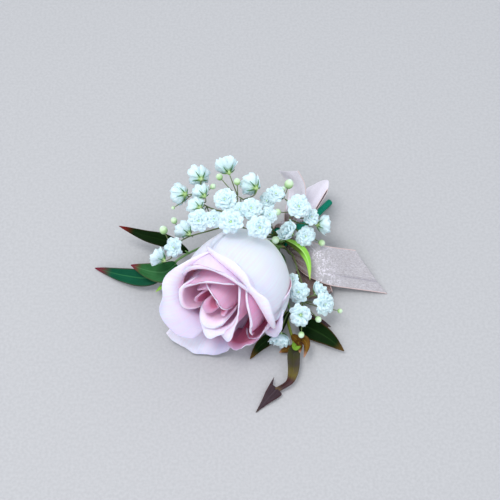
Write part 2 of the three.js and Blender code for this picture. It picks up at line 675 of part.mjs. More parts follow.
// Ribbon: a strip along a path, gathered towards the knot and cut square or askew at its free end.
function ribbonStrip(strip) {
  const curve = new THREE.CatmullRomCurve3(strip.path.map(seen));
  const length = curve.getLength();
  const across = facing(strip.across).multiplyScalar(RIBBON_WIDTH / 2);
  const pointAt = (u, v) => {
    const skew = (strip.skew ?? 0) * u * v * v;
    const at = Math.min(1, Math.max(0, v + skew / length));
    const tangent = curve.getTangentAt(at);
    const centre = curve.getPointAt(at).addScaledVector(tangent, (v + skew / length - at) * length);
    const gather = 1 - (1 - (strip.gather ?? 0.25)) * Math.exp(-((v * length) / (strip.spread ?? 6)));
    const normal = tangent.clone().cross(across).normalize();
    const pleat = (1 - gather) * 1.5 * Math.sin(4.5 * u) + (strip.wave ?? 0.5) * v * Math.sin(2.4 * u + 5 * v);
    return centre.addScaledVector(across, u * gather).addScaledVector(normal, pleat);
  };
  return solid(sheet(pointAt, 5, strip.rows ?? 9, RIBBON_THICKNESS));
}

// A loop of the bow: out along one side, round the end and back along the other.
function ribbonLoop(loop) {
  const start = seen(loop.from);
  const out = seen(loop.to).sub(start);
  const length = out.length();
  out.normalize();
  const open = facing(loop.open);
  open.addScaledVector(out, -open.dot(out)).normalize();
  const across = out.clone().cross(open).multiplyScalar(RIBBON_WIDTH / 2);
  const pointAt = (u, v) => {
    const angle = Math.PI * (2 * v - 1) * 0.94;
    const reach = (1 + Math.cos(angle)) / 2;
    const pinched = 1 - (loop.pinch ?? 0) * Math.max(0, u) ** 3;
    const belly = loop.belly * Math.sin(angle) * (0.35 + 0.65 * reach) * pinched;
    const spread = 6 - (loop.lopsided ?? 0) * Math.max(0, u);
    const gather = 1 - (1 - 0.26) * Math.exp(-(reach * length) / spread);
    const rounded = 1 - (loop.rounding ?? 0.06) * u * u - (loop.corner ?? 0) * Math.max(0, u) ** 3;
    const pleat = (1 - gather) * 0.9 * Math.sin(4.5 * u) * Math.sin(angle);
    return start.clone()
      .addScaledVector(out, reach * length * rounded)
      .addScaledVector(open, belly + pleat)
      .addScaledVector(across, u * gather);
  };
  return solid(sheet(pointAt, 5, 14, RIBBON_THICKNESS));
}

function ribbonKnot() {
  const wraps = [
    [4.32, 12.2],
    [4.32, 17.2],
    [4.9, 17.8],
    [5.35, 16.4],
    [5.05, 15.2],
    [5.45, 14.2],
    [5.3, 12.6],
    [4.9, 11.9],
    [4.32, 12.2],
  ];
  const band = lathe(wraps, 12, STEM_FRAME);
  const lump = new THREE.SphereGeometry(1, 10, 7).scale(2.4, 3.4, 3.0);
  lump.applyMatrix4(frameOf(STEM_AXIS, alongStem(14.6, 6.7, 4), STEM_SIDE));
  return fuse([band, lump]);
}

const group = new THREE.Group();
group.name = "boutonniere";
group.add(node("rose_bloom", "petal", roseBloom()));
group.add(node("rose_stem", "green", roseStem()));
group.add(node("floral_tape", "tape", floralTape()));
group.add(node("stem_wire", "wire", stemWire(288)));
Object.entries(SPRAYS).forEach(([name, spray], i) => {
  group.add(node(name, "floret", gypsophila(spray, 11 + 7 * i)));
});
for (const [name, sprig] of Object.entries(SPRIGS)) group.add(node(name, sprig.finish, leafSprig(sprig)));
group.add(node("ribbon_knot", "ribbon", ribbonKnot()));
group.add(
  node(
    "ribbon_tail_right",
    "ribbon",
    ribbonStrip({
      path: [
        [291, 252, 10.4],
        [300, 256, 10],
        [311, 260, 9.2],
        [326, 265, 8.2],
        [350, 269, 5.1],
        [371, 272, 3.5],
      ],
      across: [-0.12, 0.95, -0.22],
      skew: -5.4,
      gather: 0.3,
      spread: 3,
    }),
  ),
);
group.add(
  node(
    "ribbon_tail_upper",
    "ribbon",
    ribbonStrip({
      path: [[289, 224, 16.6], [292, 212, 17], [297, 197, 18], [295.5, 184, 19], [287.5, 171, 20]],
      across: [0.44, -0.07, 0.89],
      gather: 0.3,
      wave: 0.6,
      rows: 8,
    }),
  ),
);
group.add(
  node(
    "ribbon_loop_upper",
    "ribbon",
    ribbonLoop({
      from: [298, 223, 15.2],
      to: [322.5, 181, 13],
      open: [-0.687, 0.636, 0.359],
      belly: 1.5,
      rounding: 0.04,
      corner: 0.3,
      pinch: 0.6,
      lopsided: 4,
    }),
  ),
);
group.add(
  node(
    "ribbon_loop_lower",
    "ribbon",
    ribbonLoop({ from: [305, 264, 4.2], to: [314, 298, 3.4], open: [0, 0.3, 1], belly: 1.5 }),
  ),
);

// The origin is under the middle of the whole object, on the table.
const bounds = new THREE.Box3().setFromObject(group);
const middle = bounds.getCenter(new THREE.Vector3());
const shift = new THREE.Vector3(-middle.x, -middle.y, -bounds.min.z);
for (const mesh of group.children) mesh.geometry.translate(shift.x, shift.y, shift.z);

export default group;
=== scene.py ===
"""A boutonniere that lies on a surface: rose, gypsophila, leaves, taped stem and ribbon bow."""
import logging
import math
import random
from collections.abc import Callable, Sequence
from dataclasses import dataclass
from enum import Enum

import bmesh
import bpy
from mathutils import Matrix, Vector, noise


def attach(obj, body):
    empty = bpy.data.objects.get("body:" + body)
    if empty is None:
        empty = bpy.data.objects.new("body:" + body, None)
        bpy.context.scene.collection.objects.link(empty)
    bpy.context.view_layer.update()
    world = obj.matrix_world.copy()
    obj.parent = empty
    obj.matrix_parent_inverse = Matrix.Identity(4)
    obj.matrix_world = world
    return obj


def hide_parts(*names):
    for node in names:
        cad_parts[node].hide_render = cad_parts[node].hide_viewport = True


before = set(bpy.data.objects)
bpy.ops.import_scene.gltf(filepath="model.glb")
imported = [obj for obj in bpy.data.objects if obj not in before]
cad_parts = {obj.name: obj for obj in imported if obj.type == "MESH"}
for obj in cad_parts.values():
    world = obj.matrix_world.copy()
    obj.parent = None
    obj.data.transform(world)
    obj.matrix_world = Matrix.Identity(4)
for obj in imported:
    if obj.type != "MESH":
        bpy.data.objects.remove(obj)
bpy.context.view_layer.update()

MM = 0.001
SHIFT = (4.0199, 12.1607, -0.0441)
SHEET_MAP = "sheet"
# Name of the per-sheet value that sets deeper colour, painted light and painted shade.
TONE_AND_LIGHT = "tone"
NUMBER_SOCKET = "NodeSocketFloat"
PATH_STATIONS = 200
PATH_NUDGE = 0.002
WELD_DISTANCE = 0.0008

Triple = tuple[float, float, float]
Colour = tuple[float, float, float]
Stops = tuple[tuple[float, Colour], ...]
PointAt = Callable[[float, float], Vector]
Material = bpy.types.Material
Node = bpy.types.Node
NodeTree = bpy.types.NodeTree
Socket = bpy.types.NodeSocket
Thing = bpy.types.Object
Feed = Socket | float | Sequence[float]

RIGHT = Vector((1.0, 0.0, 0.0))

log = logging.getLogger("boutonniere")


def smooth(value: float, low: float, high: float) -> float:
    """Eases from 0 at low to 1 at high.

    Args:
        value: The number to place between the two ends.
        low: Where the step starts.
        high: Where the step ends.

    Returns:
        A share from 0 to 1.
    """
    share = min(1.0, max(0.0, (value - low) / (high - low)))
    return share * share * (3.0 - 2.0 * share)


def blend(triple: Triple, u: float) -> float:
    """Runs a parabola through a low-side, a middle and a high-side value.

    Args:
        triple: The values at u = -1, 0 and 1.
        u: The place across the sheet, from -1 to 1.

    Returns:
        The value at u.
    """
    low, middle, high = triple
    return middle + (high - low) / 2.0 * u + ((high + low) / 2.0 - middle) * u * u


def same(value: float) -> Triple:
    """Returns the value three times, for a measure that doesn't change across a petal."""
    return (value, value, value)


def round_at(out: float, angle: float, up: float) -> Vector:
    """Returns the point at a distance and an angle round the Z axis, and at a height."""
    return Vector((out * math.cos(angle), out * math.sin(angle), up))


def add_thing(name: str, data: bpy.types.ID) -> Thing:
    """Makes an object of some data and links it to the scene.

    Args:
        name: The object's name.
        data: Its mesh, light or camera.

    Returns:
        The object.
    """
    thing = bpy.data.objects.new(name, data)
    bpy.context.scene.collection.objects.link(thing)
    return thing


def frame_of(axis: Vector, origin: Vector, towards: Vector) -> Matrix:
    """Makes a frame with its Z along an axis.

    Args:
        axis: The frame's Z.
        origin: The frame's origin, in millimetres.
        towards: The side that the frame's X turns to.

    Returns:
        The 4 x 4 matrix of the frame.
    """
    along = axis.normalized()
    first = (towards - along * towards.dot(along)).normalized()
    made = Matrix((first, along.cross(first), along)).transposed().to_4x4()
    made.translation = origin
    return made


@dataclass(frozen=True)
class Sight:
    """The camera's stand, and the points that its lines of sight reach, in millimetres."""

    elevation: float = 60.0
    distance: float = 465.0
    aim_height: float = 15.0
    middle: float = 250.0
    lens: float = 85.0
    sensor: float = 36.0

    @property
    def scale(self) -> float:
        """Returns the pixels that a millimetre takes at a distance of one millimetre."""
        return self.lens / self.sensor * 2.0 * self.middle

    @property
    def up(self) -> Vector:
        """Returns the picture's upward direction."""
        angle = math.radians(self.elevation)
        return Vector((0.0, math.sin(angle), math.cos(angle)))

    @property
    def back(self) -> Vector:
        """Returns the direction from the object to the camera."""
        angle = math.radians(self.elevation)
        return Vector((0.0, -math.cos(angle), math.sin(angle)))

    def point(self, place: Triple) -> Vector:
        """Finds the point that shows at a place in the picture.

        Args:
            place: The pixels across and down, and the height over the surface.

        Returns:
            The point on that line of sight at that height.
        """
        across, down, height = place
        eye = Vector((0.0, 0.0, self.aim_height)) + self.back * self.distance
        ray = RIGHT * ((across - self.middle) / self.scale)
        ray += self.up * ((self.middle - down) / self.scale) - self.back
        return eye + ray * ((height - eye.z) / ray.z)

    def facing(self, direction: Triple) -> Vector:
        """Turns a direction in the picture into one in space.

        Args:
            direction: Its shares to the right, upwards and towards the camera.

        Returns:
            The unit direction.
        """
        right, up, back = direction
        return (Vector((right, 0.0, 0.0)) + self.up * up + self.back * back).normalized()

    def set_camera(self) -> Thing:
        """Stands the camera where the photograph was taken from.

        Returns:
            The camera's object.
        """
        data = bpy.data.cameras.new("camera")
        data.lens = self.lens
        data.sensor_width = self.sensor
        data.clip_start = 0.01
        camera = add_thing("camera", data)
        aim = Vector((0.0, 0.0, self.aim_height)) + Vector(SHIFT)
        camera.location = (aim + self.back * self.distance) * MM
        camera.rotation_mode = "QUATERNION"
        camera.rotation_quaternion = (-self.back).to_track_quat("-Z", "Y")
        bpy.context.scene.camera = camera
        return camera


SIGHT = Sight()


class Path:
    """A smooth curve through given points."""

    def __init__(self, points: Sequence[Vector]) -> None:
        """Keeps the points.

        Args:
            points: The points that the curve passes, in millimetres.
        """
        self.points = list(points)
        stations = [self.at(i / PATH_STATIONS) for i in range(PATH_STATIONS + 1)]
        self.reach = [0.0]
        for near, far in zip(stations, stations[1:]):
            self.reach.append(self.reach[-1] + (far - near).length)

    @property
    def length(self) -> float:
        """Returns the curve's length."""
        return self.reach[-1]

    def at(self, share: float) -> Vector:
        """Finds a point by its share of the given points.

        Args:
            share: 0 at the first point and 1 at the last.

        Returns:
            The point.
        """
        points = self.points
        last = len(points) - 1
        place = min(1.0, max(0.0, share)) * last
        index = min(int(place), last - 1)
        w = place - index
        p1, p2 = points[index], points[index + 1]
        p0 = points[index - 1] if index > 0 else p1 * 2.0 - p2
        p3 = points[index + 2] if index + 2 <= last else p2 * 2.0 - p1
        d0, d1, d2 = (math.sqrt((b - a).length) for a, b in ((p0, p1), (p1, p2), (p2, p3)))
        t1 = ((p1 - p0) / d0 - (p2 - p0) / (d0 + d1) + (p2 - p1) / d1) * d1
        t2 = ((p2 - p1) / d1 - (p3 - p1) / (d1 + d2) + (p3 - p2) / d2) * d1
        square = (p2 - p1) * 3.0 - t1 * 2.0 - t2
        cube = (p1 - p2) * 2.0 + t1 + t2
        return p1 + t1 * w + square * w * w + cube * w * w * w

    def even(self, share: float) -> float:
        """Turns a share of the length into a share of the given points."""
        goal = min(1.0, max(0.0, share)) * self.length
        low, high = 0, PATH_STATIONS
        while high - low > 1:
            middle = (low + high) // 2
            low, high = (middle, high) if self.reach[middle] <= goal else (low, middle)
        step = self.reach[high] - self.reach[low]
        return (low + (goal - self.reach[low]) / step if step > 0 else low) / PATH_STATIONS

    def tangent(self, share: float) -> Vector:
        """Returns the unit direction at a share of the given points."""
        near, far = max(0.0, share - PATH_NUDGE), min(1.0, share + PATH_NUDGE)
        return (self.at(far) - self.at(near)).normalized()

    def frames(self, count: int) -> list[Matrix]:
        """Carries a frame along the curve without twisting it.

        Args:
            count: The number of stretches between the frames.

        Returns:
            A matrix for each of the count + 1 stations.
        """
        direction = self.tangent(0.0)
        side = direction.orthogonal().normalized()
        made = []
        for i in range(count + 1):
            share = self.even(i / count)
            direction = self.tangent(share)
            made.append(frame_of(direction, self.at(share), side))
            side = made[-1].to_3x3() @ RIGHT
        return made


class Shell:
    """A mesh in the making: each sheet has its own across and along, and a value for tone and painted light.
    """

    def __init__(self) -> None:
        """Starts an empty mesh with its map and its layer of tone and painted light."""
        self.mesh = bmesh.new()
        self.map = self.mesh.loops.layers.uv.new(SHEET_MAP)
        self.tone = self.mesh.verts.layers.float.new(TONE_AND_LIGHT)

    def sheet(
        self, point_at: PointAt, across: int, along: int, tone: float = 0.0, finish: int = 0
    ) -> list[bmesh.types.BMVert]:
        """Lays a grid and moves each of its points by a formula.

        Args:
            point_at: Gives the point at u from -1 to 1 and v from 0 to 1.
            across: The number of cells across.
            along: The number of cells along.
            tone: The sheet's value for its finish's deeper colour, painted light and painted shade.
            finish: The place of its finish in the piece's list.

        Returns:
            The sheet's vertices.
        """
        grid = bmesh.ops.create_grid(self.mesh, x_segments=across, y_segments=along, size=1.0)
        verts = grid["verts"]
        faces = {face for vert in verts for face in vert.link_faces}
        for face in faces:
            face.smooth = True
            face.material_index = finish
            for loop in face.loops:
                place = loop.vert.co
                loop[self.map].uv = ((place.x + 1.0) / 2.0, (place.y + 1.0) / 2.0)
        for vert in verts:
            vert[self.tone] = tone
            vert.co = point_at(vert.co.x, (vert.co.y + 1.0) / 2.0)
        return verts

    def closed(
        self, point_at: PointAt, around: int, along: int, tone: float = 0.0, finish: int = 0
    ) -> None:
        """Lays a grid round into a closed skin and welds its seam and its two ends.

        Args:
            point_at: Gives the point at u from -1 to 1 round it and v from 0 to 1 along it.
            around: The number of cells round it.
            along: The number of cells along it.
            tone: The skin's value for its finish's deeper colour, painted light and painted shade.
            finish: The place of its finish in the piece's list.
        """
        verts = self.sheet(point_at, around, along, tone, finish)
        faces = list({face for vert in verts for face in vert.link_faces})
        bmesh.ops.remove_doubles(self.mesh, verts=verts, dist=WELD_DISTANCE)
        bmesh.ops.recalc_face_normals(self.mesh, faces=[face for face in faces if face.is_valid])

    def tube(
        self, path: Path, radius: Callable[[float], float], around: int = 8, along: int = 16,
        tone: float = 0.0, finish: int = 0,
    ) -> None:
        """Sweeps a round section along a path, closed at both ends.

        Args:
            path: The middle line.
            radius: Gives the radius at a share of the length.
            around: The number of cells round it.
            along: The number of cells along it.
            tone: The tube's value for its finish's deeper colour, painted light and painted shade.
            finish: The place of its finish in the piece's list.
        """
        frames = path.frames(along)

        def point_at(u: float, v: float) -> Vector:
            """Returns the point at a turn round the tube and a share of its length."""
            step = min(along, max(0, round(v * along)))
            out = 0.0 if step in (0, along) else radius(v)
            return frames[step] @ round_at(out, math.pi * u, 0.0)

        self.closed(point_at, around, along, tone, finish)

    def turned(
        self, profile: Sequence[tuple[float, float]], place: Matrix, around: int = 20, along: int = 24,
        relief: Callable[[float, float], float] | None = None, tone: float = 0.0, finish: int = 0,
    ) -> None:
        """Turns a profile round an axis, with an optional relief.

        Args:
            profile: Radius and height of each point, from the foot to the top.
            place: The frame whose Z is the axis.
            around: The number of cells round it.
            along: The number of cells along the profile.
            relief: Gives a radius to add at an angle from -1 to 1 and a share of the profile.
            tone: The skin's value for its finish's deeper colour, painted light and painted shade.
            finish: The place of its finish in the piece's list.
        """
        path = Path([Vector((radius, 0.0, height)) for radius, height in profile])

        def point_at(u: float, v: float) -> Vector:
            """Returns the point at a turn round the axis and a share of the profile."""
            spot = path.at(path.even(v))
            out = max(0.0, spot.x)
            if relief and 0.0 < v < 1.0:
                out += relief(u, v)
            return place @ round_at(out, math.pi * u, spot.z)

        self.closed(point_at, around, along, tone, finish)

    def piece(
        self, name: str, node: str, slot: str, materials: Sequence[Material],
        thickness: float = 0.0, offset: float = 0.0, second_side: int = 0, rim: int = 0,
    ) -> Thing:
        """Finishes the mesh as a piece that stands for a node of the frame.

        Args:
            name: The piece's name.
            node: The node that it stands for.
            slot: The record's material slot; not used.
            materials: The finishes, in the order that the sheets name.
            thickness: How thick the sheets are in millimetres, or 0 for closed skins.
            offset: Which way the thickness goes, from -1 to 1.
            second_side: How many places further in the list the second side's finish is.
            rim: How many places further in the list the rim's finish is.

        Returns:
            The piece's object.
        """
        bmesh.ops.translate(self.mesh, verts=self.mesh.verts, vec=SHIFT)
        bmesh.ops.scale(self.mesh, verts=self.mesh.verts, vec=same(MM))
        data = bpy.data.meshes.new(name)
        self.mesh.to_mesh(data)
        self.mesh.free()
        for material in materials:
            data.materials.append(material)
        thing = add_thing(name, data)
        if thickness > 0.0:
            wall = thing.modifiers.new("thickness", "SOLIDIFY")
            wall.thickness = thickness * MM
            wall.offset = offset
            wall.use_even_offset = False
            wall.material_offset = second_side
            wall.material_offset_rim = rim
        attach(thing, "root")
        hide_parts(node)
        log.info("%s: %d faces, stands for %s", name, len(data.polygons), node)
        return thing


class Bench:
    """Lays out the nodes of one material or of one group."""

    def __init__(self, tree: NodeTree) -> None:
        """Keeps the tree."""
        self.tree = tree

    def feed(self, socket: Socket, value: Feed) -> None:
        """Links a socket to another one, or sets it to a plain value."""
        if isinstance(value, Socket):
            self.tree.links.new(value, socket)
        else:
            socket.default_value = value

    def add(
        self, kind: str, feeds: dict[int | str, Feed] | None = None, **settings: object
    ) -> Node:
        """Adds a node, sets it and feeds its sockets.

        Args:
            kind: Blender's name for the node.
            feeds: A socket or a plain value for each of its inputs.
            **settings: The node's own settings.

        Returns:
            The node.
        """
        made = self.tree.nodes.new(kind)
        for key, value in settings.items():
            setattr(made, key, value)
        for key, value in (feeds or {}).items():
            self.feed(made.inputs[key], value)
        return made

    def math(self, operation: str, *feeds: Feed) -> Socket:
        """Returns the result of one sum."""
        return self.add("ShaderNodeMath", dict(enumerate(feeds)), operation=operation).outputs[0]

    def times(self, first: Feed, *others: Feed) -> Socket:
        """Returns the product of two or more values."""
        for other in others:
            first = self.math("MULTIPLY", first, other)
        return first

    def rest(self, share: Feed) -> Socket:
        """Returns what a share leaves of the whole."""
        return self.math("SUBTRACT", 1.0, share)

    def gap(self, value: Feed, middle: float) -> Socket:
        """Returns how far a value is from a middle one."""
        return self.math("ABSOLUTE", self.math("SUBTRACT", value, middle))

    def step(self, value: Feed, low: float, high: float) -> Socket:
        """Returns a mask that eases from 0 at low to 1 at high."""
        feeds = {0: value, 1: low, 2: high, 3: 0.0, 4: 1.0}
        return self.add("ShaderNodeMapRange", feeds, interpolation_type="SMOOTHSTEP").outputs[0]

    def mix(self, share: Feed, low: Feed, high: Feed) -> Socket:
        """Returns a colour between two others."""
        made = self.add("ShaderNodeMix", {0: share}, data_type="RGBA")
        for key, value in ((6, low), (7, high)):
            linked = isinstance(value, Socket)
            self.feed(made.inputs[key], value if linked else (*value, 1.0))
        return made.outputs[2]

    def ramp(self, value: Feed, stops: Stops) -> Socket:
        """Returns a colour that follows a value through the stops."""
        made = self.add("ShaderNodeValToRGB", {0: value})
        made.color_ramp.interpolation = "EASE"
        elements = made.color_ramp.elements
        for element, (place, colour) in zip(elements, (stops[0], stops[-1])):
            element.position = place
            element.color = (*colour, 1.0)
        for place, colour in stops[1:-1]:
            elements.new(place).color = (*colour, 1.0)
        return made.outputs[0]

    def spot(self, x: Feed, y: Feed) -> Socket:
        """Returns a flat place made of two values."""
        return self.add("ShaderNodeCombineXYZ", {0: x, 1: y}).outputs[0]

    def noise(self, spot: Feed, scale: float, detail: float, **others: Feed) -> Socket:
        """Returns soft noise from 0 to 1 at a place."""
        feeds = {"Vector": spot, "Scale": scale, "Detail": detail, **others}
        return self.add("ShaderNodeTexNoise", feeds).outputs[0]

    def across_along(self) -> tuple[Socket, Socket]:
        """Returns the place across and along the piece's own sheet."""
        spot = self.add("ShaderNodeUVMap", uv_map=SHEET_MAP)
        split = self.add("ShaderNodeSeparateXYZ", {0: spot.outputs[0]})
        return split.outputs[0], split.outputs[1]

    def place(self) -> Socket:
        """Returns the object's own coordinates."""
        return self.add("ShaderNodeTexCoord").outputs["Object"]

    def tone(self) -> Socket:
        """Returns the value for tone and painted light that each sheet was given."""
        return self.add("ShaderNodeAttribute", attribute_name=TONE_AND_LIGHT).outputs["Fac"]

    def group(self, tree: NodeTree, feeds: dict[int | str, Feed]) -> Node:
        """Places a shared group and feeds it."""
        return self.add("ShaderNodeGroup", feeds, node_tree=tree)

    def bump(self, height: Feed, strength: float, depth: float) -> Socket:
        """Returns normals that follow a height; the depth is in millimetres."""
        feeds = {"Height": height, "Strength": strength, "Distance": depth * MM}
        return self.add("ShaderNodeBump", feeds).outputs[0]


class Effects:
    """The effects that several finishes share, each built once as a group."""

    def __init__(self) -> None:
        """Builds every group."""
        self.streaks = self.make_streaks()
        self.mottle = self.make_mottle()
        self.weave = self.make_weave()
        self.midrib = self.make_midrib()

    @staticmethod
    def start(
        name: str, numbers: dict[str, float], outputs: Sequence[str], place: str = ""
    ) -> tuple[Bench, Node, Node]:
        """Starts a group with its inputs and outputs.

        Args:
            name: The group's name.
            numbers: The name and the first value of each number that goes in.
            outputs: The name of each value that comes out.
            place: The name of the coordinates that go in, if any do.

        Returns:
            The bench, the input node and the output node.
        """
        tree = bpy.data.node_groups.new(name, "ShaderNodeTree")
        if place:
            tree.interface.new_socket(place, in_out="INPUT", socket_type="NodeSocketVector")
        for label, value in numbers.items():
            socket = tree.interface.new_socket(label, in_out="INPUT", socket_type=NUMBER_SOCKET)
            socket.default_value = value
        for label in outputs:
            tree.interface.new_socket(label, in_out="OUTPUT", socket_type=NUMBER_SOCKET)
        bench = Bench(tree)
        return bench, bench.add("NodeGroupInput"), bench.add("NodeGroupOutput")

    def make_streaks(self) -> NodeTree:
        """Builds fine streaks that run along a sheet and wander a little.

        Returns:
            The group.
        """
        numbers = {"Across": 0.5, "Along": 0.5, "Count": 40.0, "Wander": 1.0}
        bench, given, put = self.start("fine streaks", numbers, ["Mask"])
        across, along = given.outputs["Across"], given.outputs["Along"]
        drift = bench.noise(bench.spot(bench.times(across, 3.0), bench.times(along, 4.0)), 1.0, 1.0)
        lines = bench.math(
            "ADD", bench.times(across, given.outputs["Count"]), bench.times(drift, given.outputs["Wander"])
        )
        fine = bench.noise(bench.spot(lines, bench.times(along, 2.2)), 1.0, 2.0)
        bench.feed(put.inputs["Mask"], bench.step(fine, 0.36, 0.66))
        return bench.tree

    def make_mottle(self) -> NodeTree:
        """Builds a soft change of shade over a surface.

        Returns:
            The group.
        """
        bench, given, put = self.start("soft mottle", {"Scale": 100.0}, ["Mask"], "Vector")
        cloud = bench.noise(given.outputs["Vector"], given.outputs["Scale"], 3.0)
        bench.feed(put.inputs["Mask"], bench.step(cloud, 0.3, 0.7))
        return bench.tree

    def make_weave(self) -> NodeTree:
        """Builds the threads of a sheer plain weave.

        Returns:
            The group.
        """
        numbers = {"Across": 0.5, "Along": 0.5, "Ends": 90.0, "Picks": 200.0}
        bench, given, put = self.start("sheer weave", numbers, ["Height", "Slub"])
        warp = bench.times(given.outputs["Across"], given.outputs["Ends"])
        weft = bench.times(given.outputs["Along"], given.outputs["Picks"])

        def threads(count: Socket) -> Socket:
            """Returns the rounded rise of one set of threads."""
            return bench.math("ABSOLUTE", bench.math("SINE", bench.times(count, math.pi)))

        slub = bench.noise(bench.spot(warp, bench.times(weft, 0.22)), 0.7, 3.0, Roughness=0.7)
        bench.feed(put.inputs["Height"], bench.math("MAXIMUM", threads(warp), threads(weft)))
        bench.feed(put.inputs["Slub"], bench.step(slub, 0.32, 0.68))
        return bench.tree

    def make_midrib(self) -> NodeTree:
        """Builds a leaf's midrib, margins and tip.

        Returns:
            The group.
        """
        numbers = {"Across": 0.5, "Along": 0.5, "Rib": 0.1, "Margin": 0.12}
        bench, given, put = self.start("leaf marks", numbers, ["Rib", "Margin", "Tip"])
        off = bench.gap(bench.times(given.outputs["Across"], 2.0), 1.0)
        rib = bench.math("DIVIDE", off, given.outputs["Rib"])
        edge = bench.math("DIVIDE", bench.rest(off), given.outputs["Margin"])
        bench.feed(put.inputs["Rib"], bench.rest(bench.step(rib, 0.3, 1.0)))
        bench.feed(put.inputs["Margin"], bench.rest(bench.step(edge, 0.2, 1.0)))
        bench.feed(put.inputs["Tip"], bench.step(given.outputs["Along"], 0.8, 0.97))
        return bench.tree


class Finish(Enum):
    """Every finish that a piece can be dressed in."""

    PETAL_OUTSIDE = "rose petal outside"
    PETAL_INSIDE = "rose petal inside"
    PETAL_FLUSHED_AND_SHADED = "rose petal inside, flushed"
    PETAL_PALE = "rose petal outside, pale"
    PETAL_RIM = "rose petal rim"
    BRACT_CUP = "green bract cup"
    FLORET = "gypsophila petal"
    TWIG = "gypsophila twig"
    CALYX = "gypsophila calyx"
    CALYX_TOOTH = "gypsophila calyx tooth"
    BUD = "gypsophila bud"
    GREEN_STEM = "green stem"
    SEPAL = "sepal"
    TAPE = "floral tape"
    WIRE = "stem wire"
    DARK_LEAF = "dark leaf"
    DARK_RED_TIP = "dark leaf, red at its tip"
    TEAL_LEAF = "teal leaf"
    FRESH_LEAF = "fresh leaf"
    LIME_LEAF = "lime leaf"
    RED_LEAF = "red leaf"
    AMBER_BRACT = "amber bract"
    RED_STEM = "red stem"
    TWISTED_STALK = "twisted stalk"
    RIBBON = "sheer ribbon"
    FLOOR = "pale floor"


@dataclass(frozen=True)
class Surface:
    """The plain numbers of a shader, the same all over the surface."""

    roughness: float = 0.5
    metallic: float = 0.0
    coat: float = 0.0
    coat_roughness: float = 0.3
    sheen: float = 0.0
    sheen_roughness: float = 0.4
    subsurface: float = 0.0
    subsurface_depth: float = 1.0
    subsurface_spread: Triple = (1.0, 0.7, 0.6)
    specular: float = 0.5

    def shader(self, material: Material) -> Node:
        """Sets the numbers on a material's shader.

        Args:
            material: The material, with its nodes in use.

        Returns:
            The shader's node.
        """
        shader = material.node_tree.nodes["Principled BSDF"]
        plain = {
            "Roughness": self.roughness,
            "Metallic": self.metallic,
            "Coat Weight": self.coat,
            "Coat Roughness": self.coat_roughness,
            "Sheen Weight": self.sheen,
            "Sheen Roughness": self.sheen_roughness,
            "Specular IOR Level": self.specular,
            "Subsurface Weight": self.subsurface,
            "Subsurface Scale": self.subsurface_depth * MM,
            "Subsurface Radius": self.subsurface_spread,
        }
        for key, value in plain.items():
            shader.inputs[key].default_value = value
        return shader


class Dressing:
    """A material in the making, with its bench, its shader and the shared effects."""

    def __init__(self, finish: Finish, surface: Surface, effects: Effects) -> None:
        """Starts the material.

        Args:
            finish: The finish that it is for.
            surface: Its plain numbers.
            effects: The shared groups.
        """
        self.material = bpy.data.materials.new(finish.value.replace(" ", "_"))
        self.material.use_nodes = True
        self.bench = Bench(self.material.node_tree)
        self.shader = surface.shader(self.material)
        self.effects = effects

    def streaks(self, count: float, wander: float, turned: bool = False) -> Socket:
        """Places the fine streaks.

        Args:
            count: How many there are across the sheet.
            wander: How far they wander.
            turned: Whether they run across the sheet instead of along it.

        Returns:
            Their mask.
        """
        across, along = self.bench.across_along()
        if turned:
            across, along = along, across
        feeds = {"Across": across, "Along": along, "Count": count, "Wander": wander}
        return self.bench.group(self.effects.streaks, feeds).outputs["Mask"]

    def cloud(self, scale: float) -> Socket:
        """Places the soft mottle and returns its mask."""
        feeds = {"Vector": self.bench.place(), "Scale": scale}
        return self.bench.group(self.effects.mottle, feeds).outputs["Mask"]

    def wear(self, colour: Feed, normal: Feed | None = None, **values: Feed) -> Material:
        """Feeds the shader.

        Args:
            colour: The base colour.
            normal: The normals, if they change over the surface.
            **values: Other inputs, such as Roughness or Alpha, that change over the surface.

        Returns:
            The material.
        """
        self.bench.feed(self.shader.inputs["Base Color"], colour)
        if normal is not None:
            self.bench.feed(self.shader.inputs["Normal"], normal)
        for key, value in values.items():
            self.bench.feed(self.shader.inputs[key], value)
        return self.material


